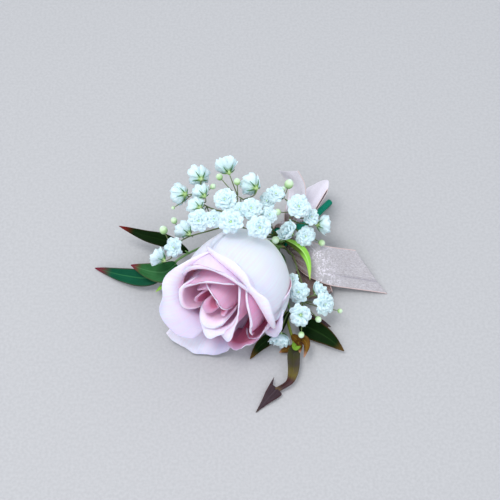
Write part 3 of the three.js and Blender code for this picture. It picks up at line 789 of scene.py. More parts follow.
@dataclass(frozen=True)
class PetalFinish:
    """One side of the rose petals: shades from foot to lip, with fine veins.

    A petal with a tone over 0 is deepened, partly to a deeper pink and partly with painted shade;
    one under 0 has painted light on one flank and painted shade on the other.
    """

    finish: Finish
    stops: Stops
    deep_pink_and_shade: Colour
    deep_pink_and_shade_share: float
    fade: tuple[float, float]
    vein: Colour
    vein_share: float
    vein_count: float = 58.0
    vein_wander: float = 2.5
    painted_shade: Colour = (0.46, 0.44, 0.64)
    painted_shade_side: tuple[float, float] = (0.4, 0.9)
    painted_light: Colour = (0.88, 0.84, 1.0)
    painted_light_side: tuple[float, float] = (0.3, 0.6)
    painted_light_share: float = 1.5
    cloud_scale: float = 90.0
    cloud_share: float = 0.05
    surface: Surface = Surface(
        roughness=0.5, sheen=0.1, subsurface=0.55, subsurface_depth=1.6, specular=0.3
    )

    def build(self, effects: Effects) -> Material:
        """Builds the material.

        Args:
            effects: The shared groups.

        Returns:
            The material.
        """
        dress = Dressing(self.finish, self.surface, effects)
        bench = dress.bench
        across, along = bench.across_along()
        # Over 0, the tone deepens the colour: partly the petal's deeper pink, partly painted shade in its
        # hollows.
        pink_and_shade_amount = bench.times(bench.math("MAXIMUM", bench.tone(), 0.0), self.deep_pink_and_shade_share)
        pink_and_shade_amount = bench.times(pink_and_shade_amount, bench.rest(bench.step(along, *self.fade)))
        colour = bench.mix(pink_and_shade_amount, bench.ramp(along, self.stops), self.deep_pink_and_shade)
        # Under 0, the tone paints light on one flank of the petal and shade on the other.
        painted_flank_amount = bench.math("MAXIMUM", bench.times(bench.tone(), -1.0), 0.0)
        lit = bench.times(painted_flank_amount, bench.rest(bench.step(across, *self.painted_light_side)), self.painted_light_share)
        colour = bench.mix(lit, colour, self.painted_light)
        colour = bench.mix(bench.times(painted_flank_amount, bench.step(across, *self.painted_shade_side)), colour, self.painted_shade)
        streaks = dress.streaks(self.vein_count, self.vein_wander)
        veins = bench.times(streaks, bench.step(along, 0.2, 0.55), self.vein_share)
        colour = bench.mix(veins, colour, self.vein)
        colour = bench.mix(bench.times(dress.cloud(self.cloud_scale), self.cloud_share), colour, self.deep_pink_and_shade)
        return dress.wear(colour, bench.bump(streaks, 0.22, 0.12))


@dataclass(frozen=True)
class FloretFinish:
    """Thin white petals, green at the foot."""

    finish: Finish = Finish.FLORET
    foot: Colour = (0.42, 0.66, 0.22)
    white: Colour = (0.72, 0.89, 0.94)
    shade: Colour = (0.58, 0.79, 0.78)
    streak_count: float = 9.0
    streak_share: float = 0.3
    surface: Surface = Surface(
        roughness=0.6, sheen=0.1, subsurface=0.3, subsurface_depth=0.6, specular=0.3
    )

    def build(self, effects: Effects) -> Material:
        """Builds the material.

        Args:
            effects: The shared groups.

        Returns:
            The material.
        """
        dress = Dressing(self.finish, self.surface, effects)
        bench = dress.bench
        along = bench.across_along()[1]
        stops = ((0.0, self.foot), (0.3, self.shade), (0.62, self.white), (1.0, self.white))
        streaks = dress.streaks(self.streak_count, 1.0)
        colour = bench.mix(bench.times(streaks, self.streak_share), bench.ramp(along, stops), self.shade)
        return dress.wear(colour, bench.bump(streaks, 0.25, 0.08))


@dataclass(frozen=True)
class GrownFinish:
    """A stem, twig, cup or bud: shades along it, with soft mottling and fine ribs."""

    finish: Finish
    stops: Stops
    shade: Colour
    rib_count: float = 8.0
    cloud_scale: float = 420.0
    cloud_share: float = 0.45
    surface: Surface = Surface(roughness=0.5, subsurface=0.15, subsurface_depth=0.5, specular=0.4)

    def build(self, effects: Effects) -> Material:
        """Builds the material.

        Args:
            effects: The shared groups.

        Returns:
            The material.
        """
        dress = Dressing(self.finish, self.surface, effects)
        bench = dress.bench
        along = bench.across_along()[1]
        share = bench.times(dress.cloud(self.cloud_scale), self.cloud_share)
        colour = bench.mix(share, bench.ramp(along, self.stops), self.shade)
        return dress.wear(colour, bench.bump(dress.streaks(self.rib_count, 0.6), 0.3, 0.06))


@dataclass(frozen=True)
class LeafFinish:
    """A leaf with a midrib, fine side veins, margins and a tip of another colour; a flank may get painted
    shade.
    """

    finish: Finish
    base: Colour
    light: Colour
    rib: Colour
    margin: Colour
    tip: Colour
    margin_share: float = 0.8
    margin_width: float = 0.16
    rib_width: float = 0.12
    rib_share: float = 0.7
    vein_count: float = 26.0
    vein_share: float = 0.3
    cloud_scale: float = 160.0
    cloud_share: float = 0.5
    flank_shade: Colour = (0.05, 0.07, 0.01)
    flank_shade_share: float = 0.0
    surface: Surface = Surface(roughness=0.58, subsurface=0.05, subsurface_depth=0.5, specular=0.05)

    def build(self, effects: Effects) -> Material:
        """Builds the material.

        Args:
            effects: The shared groups.

        Returns:
            The material.
        """
        dress = Dressing(self.finish, self.surface, effects)
        bench = dress.bench
        across, along = bench.across_along()
        feeds = {"Across": across, "Along": along, "Rib": self.rib_width, "Margin": self.margin_width}
        rib, margin, tip = bench.group(effects.midrib, feeds).outputs[:3]
        veins = dress.streaks(self.vein_count, 1.4)
        cloud = dress.cloud(self.cloud_scale)
        colour = bench.mix(bench.times(cloud, self.cloud_share), self.base, self.light)
        colour = bench.mix(bench.times(veins, self.vein_share), colour, self.light)
        colour = bench.mix(bench.times(margin, self.margin_share), colour, self.margin)
        colour = bench.mix(tip, colour, self.tip)
        colour = bench.mix(bench.times(rib, self.rib_share), colour, self.rib)
        # Painted shade over the foot half of one flank.
        if self.flank_shade_share > 0.0:
            flank_shade = bench.times(bench.rest(bench.step(along, 0.4, 0.7)), bench.step(across, 0.5, 0.6))
            colour = bench.mix(bench.times(flank_shade, self.flank_shade_share), colour, self.flank_shade)
        height = bench.math("SUBTRACT", veins, bench.times(rib, 1.5))
        rough = bench.math("ADD", bench.times(cloud, 0.15), self.surface.roughness - 0.08)
        return dress.wear(colour, bench.bump(height, 0.35, 0.1), Roughness=rough)


@dataclass(frozen=True)
class TapeFinish:
    """Waxed crepe tape wound round the stems."""

    finish: Finish = Finish.TAPE
    base: Colour = (0.002, 0.22, 0.13)
    light: Colour = (0.006, 0.40, 0.26)
    crepe_count: float = 150.0
    crepe_share: float = 0.6
    cloud_scale: float = 260.0
    cloud_share: float = 0.3
    surface: Surface = Surface(roughness=0.28, coat=0.02, coat_roughness=0.15, specular=0.08)

    def build(self, effects: Effects) -> Material:
        """Builds the material.

        Args:
            effects: The shared groups.

        Returns:
            The material.
        """
        dress = Dressing(self.finish, self.surface, effects)
        bench = dress.bench
        crepe = dress.streaks(self.crepe_count, 3.0, turned=True)
        colour = bench.mix(bench.times(crepe, self.crepe_share), self.base, self.light)
        cloud = bench.times(dress.cloud(self.cloud_scale), self.cloud_share)
        colour = bench.mix(cloud, colour, self.base)
        return dress.wear(colour, bench.bump(crepe, 0.5, 0.08))


@dataclass(frozen=True)
class MottledFinish:
    """Two near shades in a soft mottle, as on lacquered wire or a plain floor."""

    finish: Finish
    base: Colour
    light: Colour
    scale: float
    surface: Surface

    def build(self, effects: Effects) -> Material:
        """Builds the material.

        Args:
            effects: The shared groups.

        Returns:
            The material.
        """
        dress = Dressing(self.finish, self.surface, effects)
        return dress.wear(dress.bench.mix(dress.cloud(self.scale), self.base, self.light))


@dataclass(frozen=True)
class RibbonFinish:
    """Sheer ribbon: slubs, painted shade by the knot, painted glints, dark specks and a pinker selvage.

    A length with a tone over 0 gets painted light, one under 0 painted shade, and one of 0
    a crease darkened with painted shade.
    """

    finish: Finish = Finish.RIBBON
    base: Colour = (0.36, 0.33, 0.34)
    light: Colour = (0.61, 0.60, 0.635)
    selvage: Colour = (0.66, 0.48, 0.46)
    painted_highlight: Colour = (0.94, 0.89, 1.0)
    gathered_and_shade: Colour = (0.14, 0.085, 0.065)
    grain_and_crease_shade: Colour = (0.27, 0.25, 0.31)
    ends: float = 60.0
    picks: float = 150.0
    thread_share: float = 0.86
    slub_share: float = 0.65
    cloud_scale: float = 120.0
    cloud_share: float = 0.25
    painted_light_strength: float = 0.76
    pleat_count: float = 9.0
    glint_scale: float = 1500.0
    patch_scale: float = 420.0
    glint_share: float = 0.6
    speck_scale: float = 2600.0
    speck_share: float = 0.36
    crease_at: float = 0.29
    crease_shade_share: float = 0.6
    selvage_share: float = 0.85
    surface: Surface = Surface(roughness=0.42, sheen=0.35, specular=0.5)

    def shade(self, dress: Dressing, along: Feed) -> Socket:
        """Finds where painted shade darkens the ribbon.

        Args:
            dress: The material in the making.
            along: The place along the ribbon.

        Returns:
            A mask of painted shade in the pleats by the knot, and over the whole of a shaded length.
        """
        bench = dress.bench
        pleats = bench.math("SUBTRACT", 0.92, bench.times(dress.streaks(self.pleat_count, 0.6), 0.3))
        pleats = bench.times(bench.rest(bench.step(along, 0.12, 0.36)), pleats)
        shaded = bench.math("MAXIMUM", bench.times(bench.tone(), -0.95), 0.0)
        return bench.math("MAXIMUM", pleats, shaded)

    def glints(self, dress: Dressing, along: Feed) -> Socket:
        """Finds the band of painted glints past the pleats.

        Args:
            dress: The material in the making.
            along: The place along the ribbon.

        Returns:
            The band's mask.
        """
        bench = dress.bench
        band = bench.times(bench.step(along, 0.22, 0.34), bench.rest(bench.step(along, 0.38, 0.66)))
        fine = bench.step(dress.cloud(self.glint_scale), 0.3, 0.75)
        return bench.times(band, fine, bench.step(dress.cloud(self.patch_scale), 0.25, 0.6))

    def crease(self, bench: Bench, across: Feed, along: Feed) -> Socket:
        """Finds the thin crease, darkened with painted shade, of a length with no tone.

        Args:
            bench: The material's bench.
            across: The place across the ribbon.
            along: The place along the ribbon.

        Returns:
            The crease's mask.
        """
        plain = bench.math("LESS_THAN", bench.math("ABSOLUTE", bench.tone()), 0.05)
        line = bench.rest(bench.step(bench.gap(across, self.crease_at), 0.004, 0.022))
        return bench.times(line, plain, bench.step(along, 0.4, 0.7))

    def build(self, effects: Effects) -> Material:
        """Builds the material.

        Args:
            effects: The shared groups.

        Returns:
            The material.
        """
        dress = Dressing(self.finish, self.surface, effects)
        bench = dress.bench
        across, along = bench.across_along()
        feeds = {"Across": across, "Along": along, "Ends": self.ends, "Picks": self.picks}
        height, slub = bench.group(effects.weave, feeds).outputs[:2]
        # Painted light: lengths with a tone over 0 are lightened towards the highlight colour and get fewer
        # specks.
        painted_light_amount = bench.math("MAXIMUM", bench.tone(), 0.0)
        colour = bench.mix(bench.times(slub, self.slub_share), self.base, self.light)
        cloud = bench.times(dress.cloud(self.cloud_scale), self.cloud_share)
        colour = bench.mix(cloud, colour, self.light)
        colour = bench.mix(bench.times(painted_light_amount, self.painted_light_strength), colour, self.painted_highlight)
        # Painted shade: the pleats by the knot and the whole of a shaded length go dark brown.
        dark = self.shade(dress, along)
        colour = bench.mix(dark, colour, self.gathered_and_shade)
        # Painted highlight: a band of glints in the highlight colour.
        glints = bench.times(self.glints(dress, along), self.glint_share)
        colour = bench.mix(glints, colour, self.painted_highlight)
        specks = bench.times(bench.step(dress.cloud(self.speck_scale), 0.5, 0.8), self.speck_share)
        specks = bench.times(specks, bench.rest(bench.times(painted_light_amount, 0.7)))
        colour = bench.mix(specks, colour, self.grain_and_crease_shade)
        # Painted shade along the crease, in the same dark colour as the grain specks.
        crease = bench.times(self.crease(bench, across, along), self.crease_shade_share)
        colour = bench.mix(crease, colour, self.grain_and_crease_shade)
        edge = bench.step(bench.gap(bench.times(across, 2.0), 1.0), 0.95, 0.975)
        colour = bench.mix(bench.times(edge, self.selvage_share), colour, self.selvage)
        sheer = bench.math("ADD", bench.times(height, 1.0 - self.thread_share), self.thread_share)
        lustre = bench.rest(dark)
        shine = {
            "Alpha": bench.math("MAXIMUM", sheer, edge),
            "Sheen Weight": bench.times(lustre, self.surface.sheen),
            "Specular IOR Level": bench.times(lustre, self.surface.specular),
        }
        return dress.wear(colour, bench.bump(height, 0.4, 0.06), **shine)


GREEN_FOOT = ((0.0, (0.55, 0.62, 0.32)), (0.14, (0.74, 0.80, 0.60)))
LILAC = (0.84, 0.68, 0.88)

MAKERS = (
    PetalFinish(
        Finish.PETAL_OUTSIDE,
        (*GREEN_FOOT, (0.32, (0.80, 0.83, 0.90)), (0.72, (0.80, 0.82, 0.99)), (1.0, (0.79, 0.79, 0.98))),
        deep_pink_and_shade=(1.0, 0.36, 0.62), deep_pink_and_shade_share=0.85, fade=(0.82, 1.12), vein=LILAC, vein_share=0.35,
    ),
    PetalFinish(
        Finish.PETAL_PALE, (*GREEN_FOOT, (0.5, (0.78, 0.76, 0.90)), (1.0, (0.82, 0.76, 0.98))),
        deep_pink_and_shade=(0.90, 0.60, 0.82), deep_pink_and_shade_share=0.5, fade=(0.8, 1.0), vein=LILAC, vein_share=0.35,
    ),
    PetalFinish(
        Finish.PETAL_RIM, ((0.0, (0.66, 0.30, 0.44)), (1.0, (0.72, 0.44, 0.60))),
        deep_pink_and_shade=(0.72, 0.30, 0.46), deep_pink_and_shade_share=0.5, fade=(0.6, 0.9), vein=LILAC, vein_share=0.2,
    ),
    PetalFinish(
        Finish.PETAL_INSIDE,
        ((0.0, (0.70, 0.40, 0.25)), (0.2, (0.84, 0.17, 0.30)), (0.5, (1.0, 0.44, 0.63)),
         (0.68, (0.97, 0.69, 0.88)), (0.84, (0.82, 0.82, 0.99)), (1.0, (0.68, 0.72, 0.96))),
        deep_pink_and_shade=(0.94, 0.34, 0.54), deep_pink_and_shade_share=0.6, fade=(0.5, 0.92), vein=(0.92, 0.50, 0.72), vein_share=0.2,
    ),
    # Inside of the flushed petals: deeper pink with painted shade, near black at the foot.
    PetalFinish(
        Finish.PETAL_FLUSHED_AND_SHADED,
        ((0.0, (0.16, 0.02, 0.04)), (0.42, (0.42, 0.07, 0.17)), (0.62, (0.82, 0.33, 0.52)),
         (0.84, (0.70, 0.46, 0.66)), (1.0, (0.68, 0.58, 0.80))),
        deep_pink_and_shade=(0.40, 0.04, 0.12), deep_pink_and_shade_share=0.65, fade=(0.62, 1.0), vein=(0.60, 0.22, 0.36), vein_share=0.2,
    ),
    FloretFinish(),
    GrownFinish(
        Finish.TWIG,
        ((0.0, (0.07, 0.13, 0.03)), (0.5, (0.10, 0.15, 0.04)), (1.0, (0.16, 0.24, 0.08))),
        shade=(0.08, 0.07, 0.03),
    ),
    GrownFinish(
        Finish.CALYX,
        ((0.0, (0.20, 0.36, 0.10)), (0.45, (0.36, 0.55, 0.20)), (1.0, (0.55, 0.72, 0.34))),
        shade=(0.62, 0.76, 0.42), rib_count=10.0,
    ),
    GrownFinish(
        Finish.CALYX_TOOTH,
        ((0.0, (0.30, 0.48, 0.12)), (0.4, (0.03, 0.15, 0.04)), (1.0, (0.10, 0.30, 0.16))),
        shade=(0.05, 0.16, 0.03),
    ),
    GrownFinish(
        Finish.BUD,
        ((0.0, (0.10, 0.26, 0.06)), (0.36, (0.34, 0.54, 0.20)), (0.6, (0.62, 0.80, 0.52)),
         (1.0, (0.71, 0.88, 0.80))),
        shade=(0.50, 0.70, 0.46), rib_count=10.0,
    ),
    GrownFinish(
        Finish.GREEN_STEM, ((0.0, (0.10, 0.24, 0.06)), (1.0, (0.20, 0.36, 0.12))),
        shade=(0.08, 0.17, 0.05),
    ),
    GrownFinish(
        Finish.RED_STEM,
        ((0.0, (0.10, 0.18, 0.03)), (0.55, (0.16, 0.26, 0.03)), (1.0, (0.30, 0.38, 0.05))),
        shade=(0.14, 0.12, 0.03),
    ),
    # The stalk's yellow band half-way along is partly its own colour and partly a painted highlight.
    GrownFinish(
        Finish.TWISTED_STALK,
        ((0.0, (0.03, 0.04, 0.006)), (0.3, (0.045, 0.04, 0.012)), (0.5, (0.14, 0.11, 0.012)),
         (0.66, (0.06, 0.016, 0.012)), (0.82, (0.045, 0.014, 0.013)), (1.0, (0.14, 0.09, 0.04))),
        shade=(0.05, 0.035, 0.05), rib_count=12.0, surface=Surface(roughness=0.55, specular=0.15),
    ),
    LeafFinish(
        Finish.SEPAL, base=(0.14, 0.30, 0.08), light=(0.26, 0.42, 0.16), rib=(0.34, 0.50, 0.2),
        margin=(0.34, 0.46, 0.22), tip=(0.30, 0.20, 0.12),
    ),
    LeafFinish(
        Finish.DARK_LEAF, base=(0.002, 0.011, 0.001), light=(0.006, 0.024, 0.003),
        rib=(0.014, 0.04, 0.008), margin=(0.085, 0.035, 0.014), tip=(0.10, 0.055, 0.014), margin_share=0.6,
    ),
    LeafFinish(
        Finish.DARK_RED_TIP, base=(0.002, 0.010, 0.001), light=(0.005, 0.020, 0.002),
        rib=(0.008, 0.026, 0.004), margin=(0.05, 0.03, 0.012), tip=(0.16, 0.010, 0.010), margin_share=0.5,
    ),
    LeafFinish(
        Finish.TEAL_LEAF, base=(0.003, 0.062, 0.030), light=(0.010, 0.105, 0.052),
        rib=(0.03, 0.16, 0.06), margin=(0.09, 0.04, 0.03), tip=(0.17, 0.015, 0.035), margin_share=0.5,
    ),
    # The lime leaf gets painted shade on one flank.
    LeafFinish(
        Finish.LIME_LEAF, base=(0.22, 0.52, 0.06), light=(0.36, 0.70, 0.12), rib=(0.48, 0.78, 0.24),
        margin=(0.34, 0.60, 0.10), tip=(0.42, 0.62, 0.14), rib_width=0.25, flank_shade_share=0.95,
    ),
    LeafFinish(
        Finish.BRACT_CUP, base=(0.10, 0.24, 0.02), light=(0.24, 0.42, 0.05), rib=(0.34, 0.46, 0.08),
        margin=(0.16, 0.26, 0.02), tip=(0.20, 0.28, 0.03),
    ),
    LeafFinish(
        Finish.FRESH_LEAF, base=(0.016, 0.090, 0.022), light=(0.045, 0.165, 0.060),
        rib=(0.06, 0.19, 0.07), margin=(0.09, 0.05, 0.03), tip=(0.17, 0.015, 0.035), margin_share=0.5,
    ),
    LeafFinish(
        Finish.RED_LEAF, base=(0.034, 0.020, 0.026), light=(0.080, 0.056, 0.066),
        rib=(0.075, 0.055, 0.065), margin=(0.075, 0.022, 0.022), tip=(0.075, 0.050, 0.045), margin_share=0.6,
    ),
    LeafFinish(
        Finish.AMBER_BRACT, base=(0.060, 0.022, 0.004), light=(0.22, 0.11, 0.008),
        rib=(0.26, 0.16, 0.015), margin=(0.05, 0.015, 0.006), tip=(0.42, 0.22, 0.14),
        surface=Surface(roughness=0.45, subsurface=0.1, subsurface_depth=0.6, specular=0.12),
    ),
    TapeFinish(),
    MottledFinish(
        Finish.WIRE, (0.30, 0.36, 0.31), (0.52, 0.57, 0.52), 500.0, Surface(roughness=0.3, metallic=0.8)
    ),
    RibbonFinish(),
    MottledFinish(
        Finish.FLOOR, (0.44, 0.44, 0.45), (0.48, 0.48, 0.49), 900.0, Surface(roughness=0.8, specular=0.2)
    ),
)


class Palette:
    """Every finish, built once and handed out by name."""

    def __init__(self) -> None:
        """Builds the shared groups and the materials."""
        effects = Effects()
        self.materials = {maker.finish: maker.build(effects) for maker in MAKERS}

    def of(self, *finishes: Finish) -> list[Material]:
        """Returns the materials of some finishes, in their order."""
        return [self.materials[finish] for finish in finishes]


PETAL_FOOT = 1.8
PETAL_BODY_SHARE = 0.74


@dataclass(frozen=True)
class Petal:
    """A rose petal: degrees round the rose's axis, and millimetres out from it and up it."""

    azimuth: float
    span: float
    radius: Triple
    height: float
    belly: Triple
    curl: Triple
    roll: float
    flare: Triple = (0.0, 0.0, 0.0)
    drop: float = 0.18
    tip: float = 0.0
    tip_at: float = 0.0
    tip_width: float = 0.2
    tone: float = 0.3
    flushed_and_shaded: bool = False
    ruffle: float = 0.5
    sway: float = 0.25
    ripple: float = 0.16

    def body(self, radius: float, height: float, belly: float, share: float) -> tuple[float, float, float]:
        """Follows the petal from its foot to its neck.

        Args:
            radius: The neck's distance from the axis.
            height: The neck's height.
            belly: How far the petal bulges.
            share: The share of the way.

        Returns:
            The distance from the axis, the height, and the lean at the neck in radians.
        """
        points = (
            (PETAL_FOOT, 0.0), (radius * 0.5 + belly * 1.1 + 1.0, 0.02 * height),
            (radius + belly * 1.25, 0.6 * height), (radius, height),
        )
        rest = 1.0 - share
        weights = (rest ** 3, 3.0 * rest * rest * share, 3.0 * rest * share * share, share ** 3)
        out = sum(weight * point[0] for weight, point in zip(weights, points))
        up = sum(weight * point[1] for weight, point in zip(weights, points))
        lean = math.atan2(points[3][0] - points[2][0], points[3][1] - points[2][1])
        return out, up, lean

    def point(self, u: float, v: float) -> Vector:
        """Finds a point of the petal.

        Args:
            u: The place across, from -1 to 1.
            v: The place along, from 0 at the foot to 1 at the lip.

        Returns:
            The point in the rose's own frame, in millimetres.
        """
        radius, belly, curl, flare = (
            blend(measure, u) for measure in (self.radius, self.belly, self.curl, self.flare)
        )
        height = self.height * (1.0 - self.drop * abs(u) ** 3.2)
        out, up, lean = self.body(radius, height, belly, min(1.0, v / PETAL_BODY_SHARE))
        edge = max(0.0, (v - PETAL_BODY_SHARE) / (1.0 - PETAL_BODY_SHARE))
        if edge > 0.0:
            point = math.exp(-(((u - self.tip_at) / self.tip_width) ** 2))
            roll = math.radians(self.roll) * (1.0 - 0.35 * u * u) * (1.0 - 0.25 * point)
            turned = lean + roll * min(1.0, edge / 0.7)
            out += curl * (math.cos(lean) - math.cos(turned))
            up += curl * (math.sin(turned) - math.sin(lean))
            reach = (self.tip * point + flare) * max(0.0, (edge - 0.4) / 0.6)
            out += reach * math.sin(turned)
            up += reach * math.cos(turned)
        wide = (0.34 + 0.66 * math.sin(min(1.0, v / 0.62) * math.pi / 2.0))
        wide *= 1.0 - 0.1 * max(0.0, (v - 0.7) / 0.3) ** 2
        angle = math.radians(self.azimuth + self.span * u * wide)
        out += self.sway * v * v * math.sin(5.0 * u + self.azimuth)
        spot = Vector((u * 2.6, v * 1.5, self.azimuth * 0.37))
        out += self.ripple * smooth(v, 0.2, 0.6) * noise.noise(spot)
        wave = noise.noise(Vector((u * 4.5, self.azimuth, self.height)))
        up += self.ruffle * edge * edge * wave
        out += self.ruffle * 0.5 * edge * edge * noise.noise(Vector((u * 6.0, self.height, self.azimuth)))
        return round_at(out, angle, up)


# Each petal's tone over 0 deepens it: partly deeper pink, partly painted shade.
HEART_PETALS = (
    Petal(20, 120, (2.0, 1.2, 1.8), 39.4, same(0.5), same(0.5), 75, tip=0.4, tone=0.8, flushed_and_shaded=True),
    Petal(200, 88, (2.6, 2.6, 2.4), 38.6, same(0.5), (0.5, 2.6, 0.5), 80, tip=1.0, tip_at=0.15, tone=0.2,
          flushed_and_shaded=True),
    Petal(-26, 30, (2.4, 4.0, 3.8), 39.9, same(0.6), same(0.9), 100, tip=0.6, tone=0.3, flushed_and_shaded=True),
    Petal(156, 50, (5.6, 7.0, 6.8), 40.0, same(0.9), same(0.8), 90, tip=0.5, tip_at=0.3, tone=0.5,
          flushed_and_shaded=True),
    Petal(122, 34, (7.0, 8.2, 9.2), 40.6, same(1.0), same(0.5), 80, tip=0.3, tone=0.6, flushed_and_shaded=True),
    Petal(266, 68, (7.4, 6.6, 6.2), 38.8, same(1.3), (1.8, 2.6, 1.0), 92, tip=1.8, tip_at=-0.45,
          tip_width=0.3, tone=0.2),
    Petal(56, 74, (5.2, 5.1, 10.2), 42.0, same(1.6), same(0.8), 100, tip=0.4, tone=0.75),
    Petal(174, 44, (11.8, 12.8, 9.6), 41.0, same(1.8), same(1.1), 105, tip=0.4, tone=0.2),
    Petal(276, 66, (9.8, 9.8, 8.2), 38.8, same(1.8), (1.6, 2.4, 1.2), 88, tip=3.4, tip_at=-0.22,
          tip_width=0.24, tone=0.2),
)
MIDDLE_PETALS = (
    Petal(116, 62, (13.8, 11.2, 15.0), 40.8, same(2.6), same(1.0), 100, drop=0.08, tip=0.4, tone=0.7),
    Petal(-18, 70, (12.6, 9.8, 13.6), 41.3, same(2.6), (1.8, 0.8, 1.0), 95, drop=0.12, tip=3.6, tip_at=-0.6,
          tip_width=0.3, tone=0.8),
    Petal(2, 46, (17.4, 14.8, 15.4), 40.5, same(3.0), same(1.0), 110, tip=1.2, tip_at=-0.8, tone=0.9),
    Petal(88, 64, (16.4, 17.0, 16.0), 39.6, same(3.2), (1.6, 1.9, 1.6), 130, drop=0.1, tone=0.2),
)
OUTER_PETALS = (
    Petal(44, 70, (20.6, 17.2, 19.4), 35.0, (4.2, 4.6, 2.6), (2.8, 4.1, 2.0), 158, tone=0.0),
    # The next two petals' tones under 0 paint light on one flank and shade on the other.
    Petal(178, 74, (18.8, 15.4, 14.6), 35.0, (2.9, 5.8, 6.2), (0.8, 5.0, 5.4), 100, flare=(0.0, 4.2, 6.4),
          drop=0.12, tone=-0.45),
    Petal(250, 30, (22.4, 22.4, 21.6), 31.0, same(1.6), same(5.0), 76, flare=(8.6, 3.4, 2.0), drop=0.05,
          tip=2.4, tip_at=0.0, tone=-0.7),
    Petal(-58, 28, (21.0, 20.6, 20.0), 33.5, same(3.0), same(3.0), 60, flare=(2.4, 0.0, 0.0), drop=0.1,
          tone=0.8, flushed_and_shaded=True),
    Petal(-36, 34, (19.0, 20.0, 20.0), 34.0, same(3.4), same(1.5), 40, drop=0.24, tip=1.0, tone=0.9,
          flushed_and_shaded=True),
    Petal(-35, 21, (21.4, 22.6, 20.4), 24.3, same(0.6), same(2.4), 80, flare=(0.8, 1.6, 0.3), drop=0.12,
          tip=0.6, tone=0.1),
)


@dataclass
class Rose:
    """The bloom, with its petals in three rings round a small closed heart, and its cut stem."""

    base: Triple = (3.9, 1.0, 12.5)
    axis: Triple = (-0.428, -0.8175, 0.386)
    petal_thickness: float = 0.35
    across: int = 30
    along: int = 36
    sepals: int = 5
    sepal_length: float = 8.5
    sepal_thickness: float = 0.35
    stem_radius: float = 1.05
    stem_foot: float = 5.0
    stem_run: Triple = (9.0, 14.0, 18.5)
    calyx_depth: float = 7.5
    calyx_radius: float = 3.1

    @property
    def frame(self) -> Matrix:
        """Returns the rose's own frame."""
        return frame_of(Vector(self.axis), Vector(self.base), RIGHT)

    def build_ring(self, name: str, petals: Sequence[Petal], palette: Palette) -> Thing:
        """Builds one ring of petals.

        Args:
            name: The piece's name.
            petals: The ring's petals.
            palette: The finishes.

        Returns:
            The piece.
        """
        shell = Shell()
        place = self.frame
        for petal in petals:
            def point_at(u: float, v: float, petal: Petal = petal) -> Vector:
                """Returns a point of this petal, with its rows closer together at the lip."""
                return place @ petal.point(u, 1.0 - (1.0 - v) ** 1.3)
            # Flushed petals take the inside finish with painted shade on their second side.
            shell.sheet(point_at, self.across, self.along, petal.tone, 2 if petal.flushed_and_shaded else 0)
        under, rim = Finish.PETAL_OUTSIDE, Finish.PETAL_RIM
        if petals is OUTER_PETALS:
            under = rim = Finish.PETAL_PALE
        materials = palette.of(Finish.PETAL_OUTSIDE, Finish.PETAL_INSIDE, under, Finish.PETAL_FLUSHED_AND_SHADED, rim)
        return shell.piece(
            name, "rose_bloom", "rose_petals", materials, self.petal_thickness, second_side=1, rim=4
        )

    def build_heart(self, palette: Palette) -> Thing:
        """Builds the small closed heart that the inner petals wrap.

        Args:
            palette: The finishes.

        Returns:
            The piece.
        """
        shell = Shell()
        profile = ((0.0, -0.8), (2.6, -0.4), (6.0, 5.0), (6.8, 14.0), (4.6, 24.0), (1.6, 32.0), (0.0, 34.0))
        # The heart's tone of 0.9 deepens it: deeper pink with painted shade.
        shell.turned(profile, self.frame, around=24, along=30, tone=0.9)
        return shell.piece("rose_heart", "rose_bloom", "rose_petals", palette.of(Finish.PETAL_INSIDE))

    def build_stem(self, stem: "Stem", palette: Palette) -> Thing:
        """Builds the hip and the cut stem that runs into the tape.

        Args:
            stem: The line that the stems follow.
            palette: The finishes.

        Returns:
            The piece.
        """
        shell = Shell()
        radius, depth = self.calyx_radius, self.calyx_depth
        profile = (
            (0.0, -depth - 0.6), (self.stem_radius, -depth), (radius * 0.8, -depth * 0.72),
            (radius, -depth * 0.4), (radius * 0.82, -1.7), (2.2, -1.2), (0.0, -1.0),
        )

        def ribs(u: float, v: float) -> float:
            """Returns the hip's low ribs."""
            return 0.1 * math.sin(5.0 * math.pi * u) * math.sin(math.pi * v)

        shell.turned(profile, self.frame, around=30, along=24, relief=ribs)
        foot = Vector(self.base) - Vector(self.axis).normalized() * self.stem_foot
        path = Path([foot, *map(stem.point, self.stem_run)])
        shell.tube(path, lambda share: self.stem_radius, around=14, along=24)
        return shell.piece("rose_hip_and_stem", "rose_stem", "green_stem", palette.of(Finish.GREEN_STEM))

    def build_sepals(self, palette: Palette) -> Thing:
        """Builds the sepals that lie under the bloom.

        Args:
            palette: The finishes.

        Returns:
            The piece.
        """
        shell = Shell()
        place = self.frame
        for i in range(self.sepals):
            turn = Matrix.Rotation(i / self.sepals * 2.0 * math.pi + 0.4, 4, "Z")

            def point_at(u: float, v: float, turn: Matrix = turn) -> Vector:
                """Returns a point of this sepal, broad near its foot and drawn out to a point."""
                out = 1.2 + (self.sepal_length + 1.2) * v
                side = u * (0.9 + 1.5 * math.sin(math.pi * min(1.0, v * 1.25 + 0.1))) * (1.0 - v) ** 0.5
                rise = -1.75 + 0.5 * v * v - 0.3 * u * u + 0.15 * math.sin(9.0 * v) * u
                return place @ (turn @ Vector((out, side, rise)))

            shell.sheet(point_at, 8, 16)
        return shell.piece(
            "rose_sepals", "rose_stem", "green_stem", palette.of(Finish.SEPAL), self.sepal_thickness
        )

    def build(self, stem: "Stem", palette: Palette) -> None:
        """Builds every piece of the rose.

        Args:
            stem: The line that the stems follow.
            palette: The finishes.
        """
        self.build_ring("rose_heart_petals", HEART_PETALS, palette)
        self.build_ring("rose_middle_petals", MIDDLE_PETALS, palette)
        self.build_ring("rose_outer_petals", OUTER_PETALS, palette)
        self.build_heart(palette)
        self.build_stem(stem, palette)
        self.build_sepals(palette)


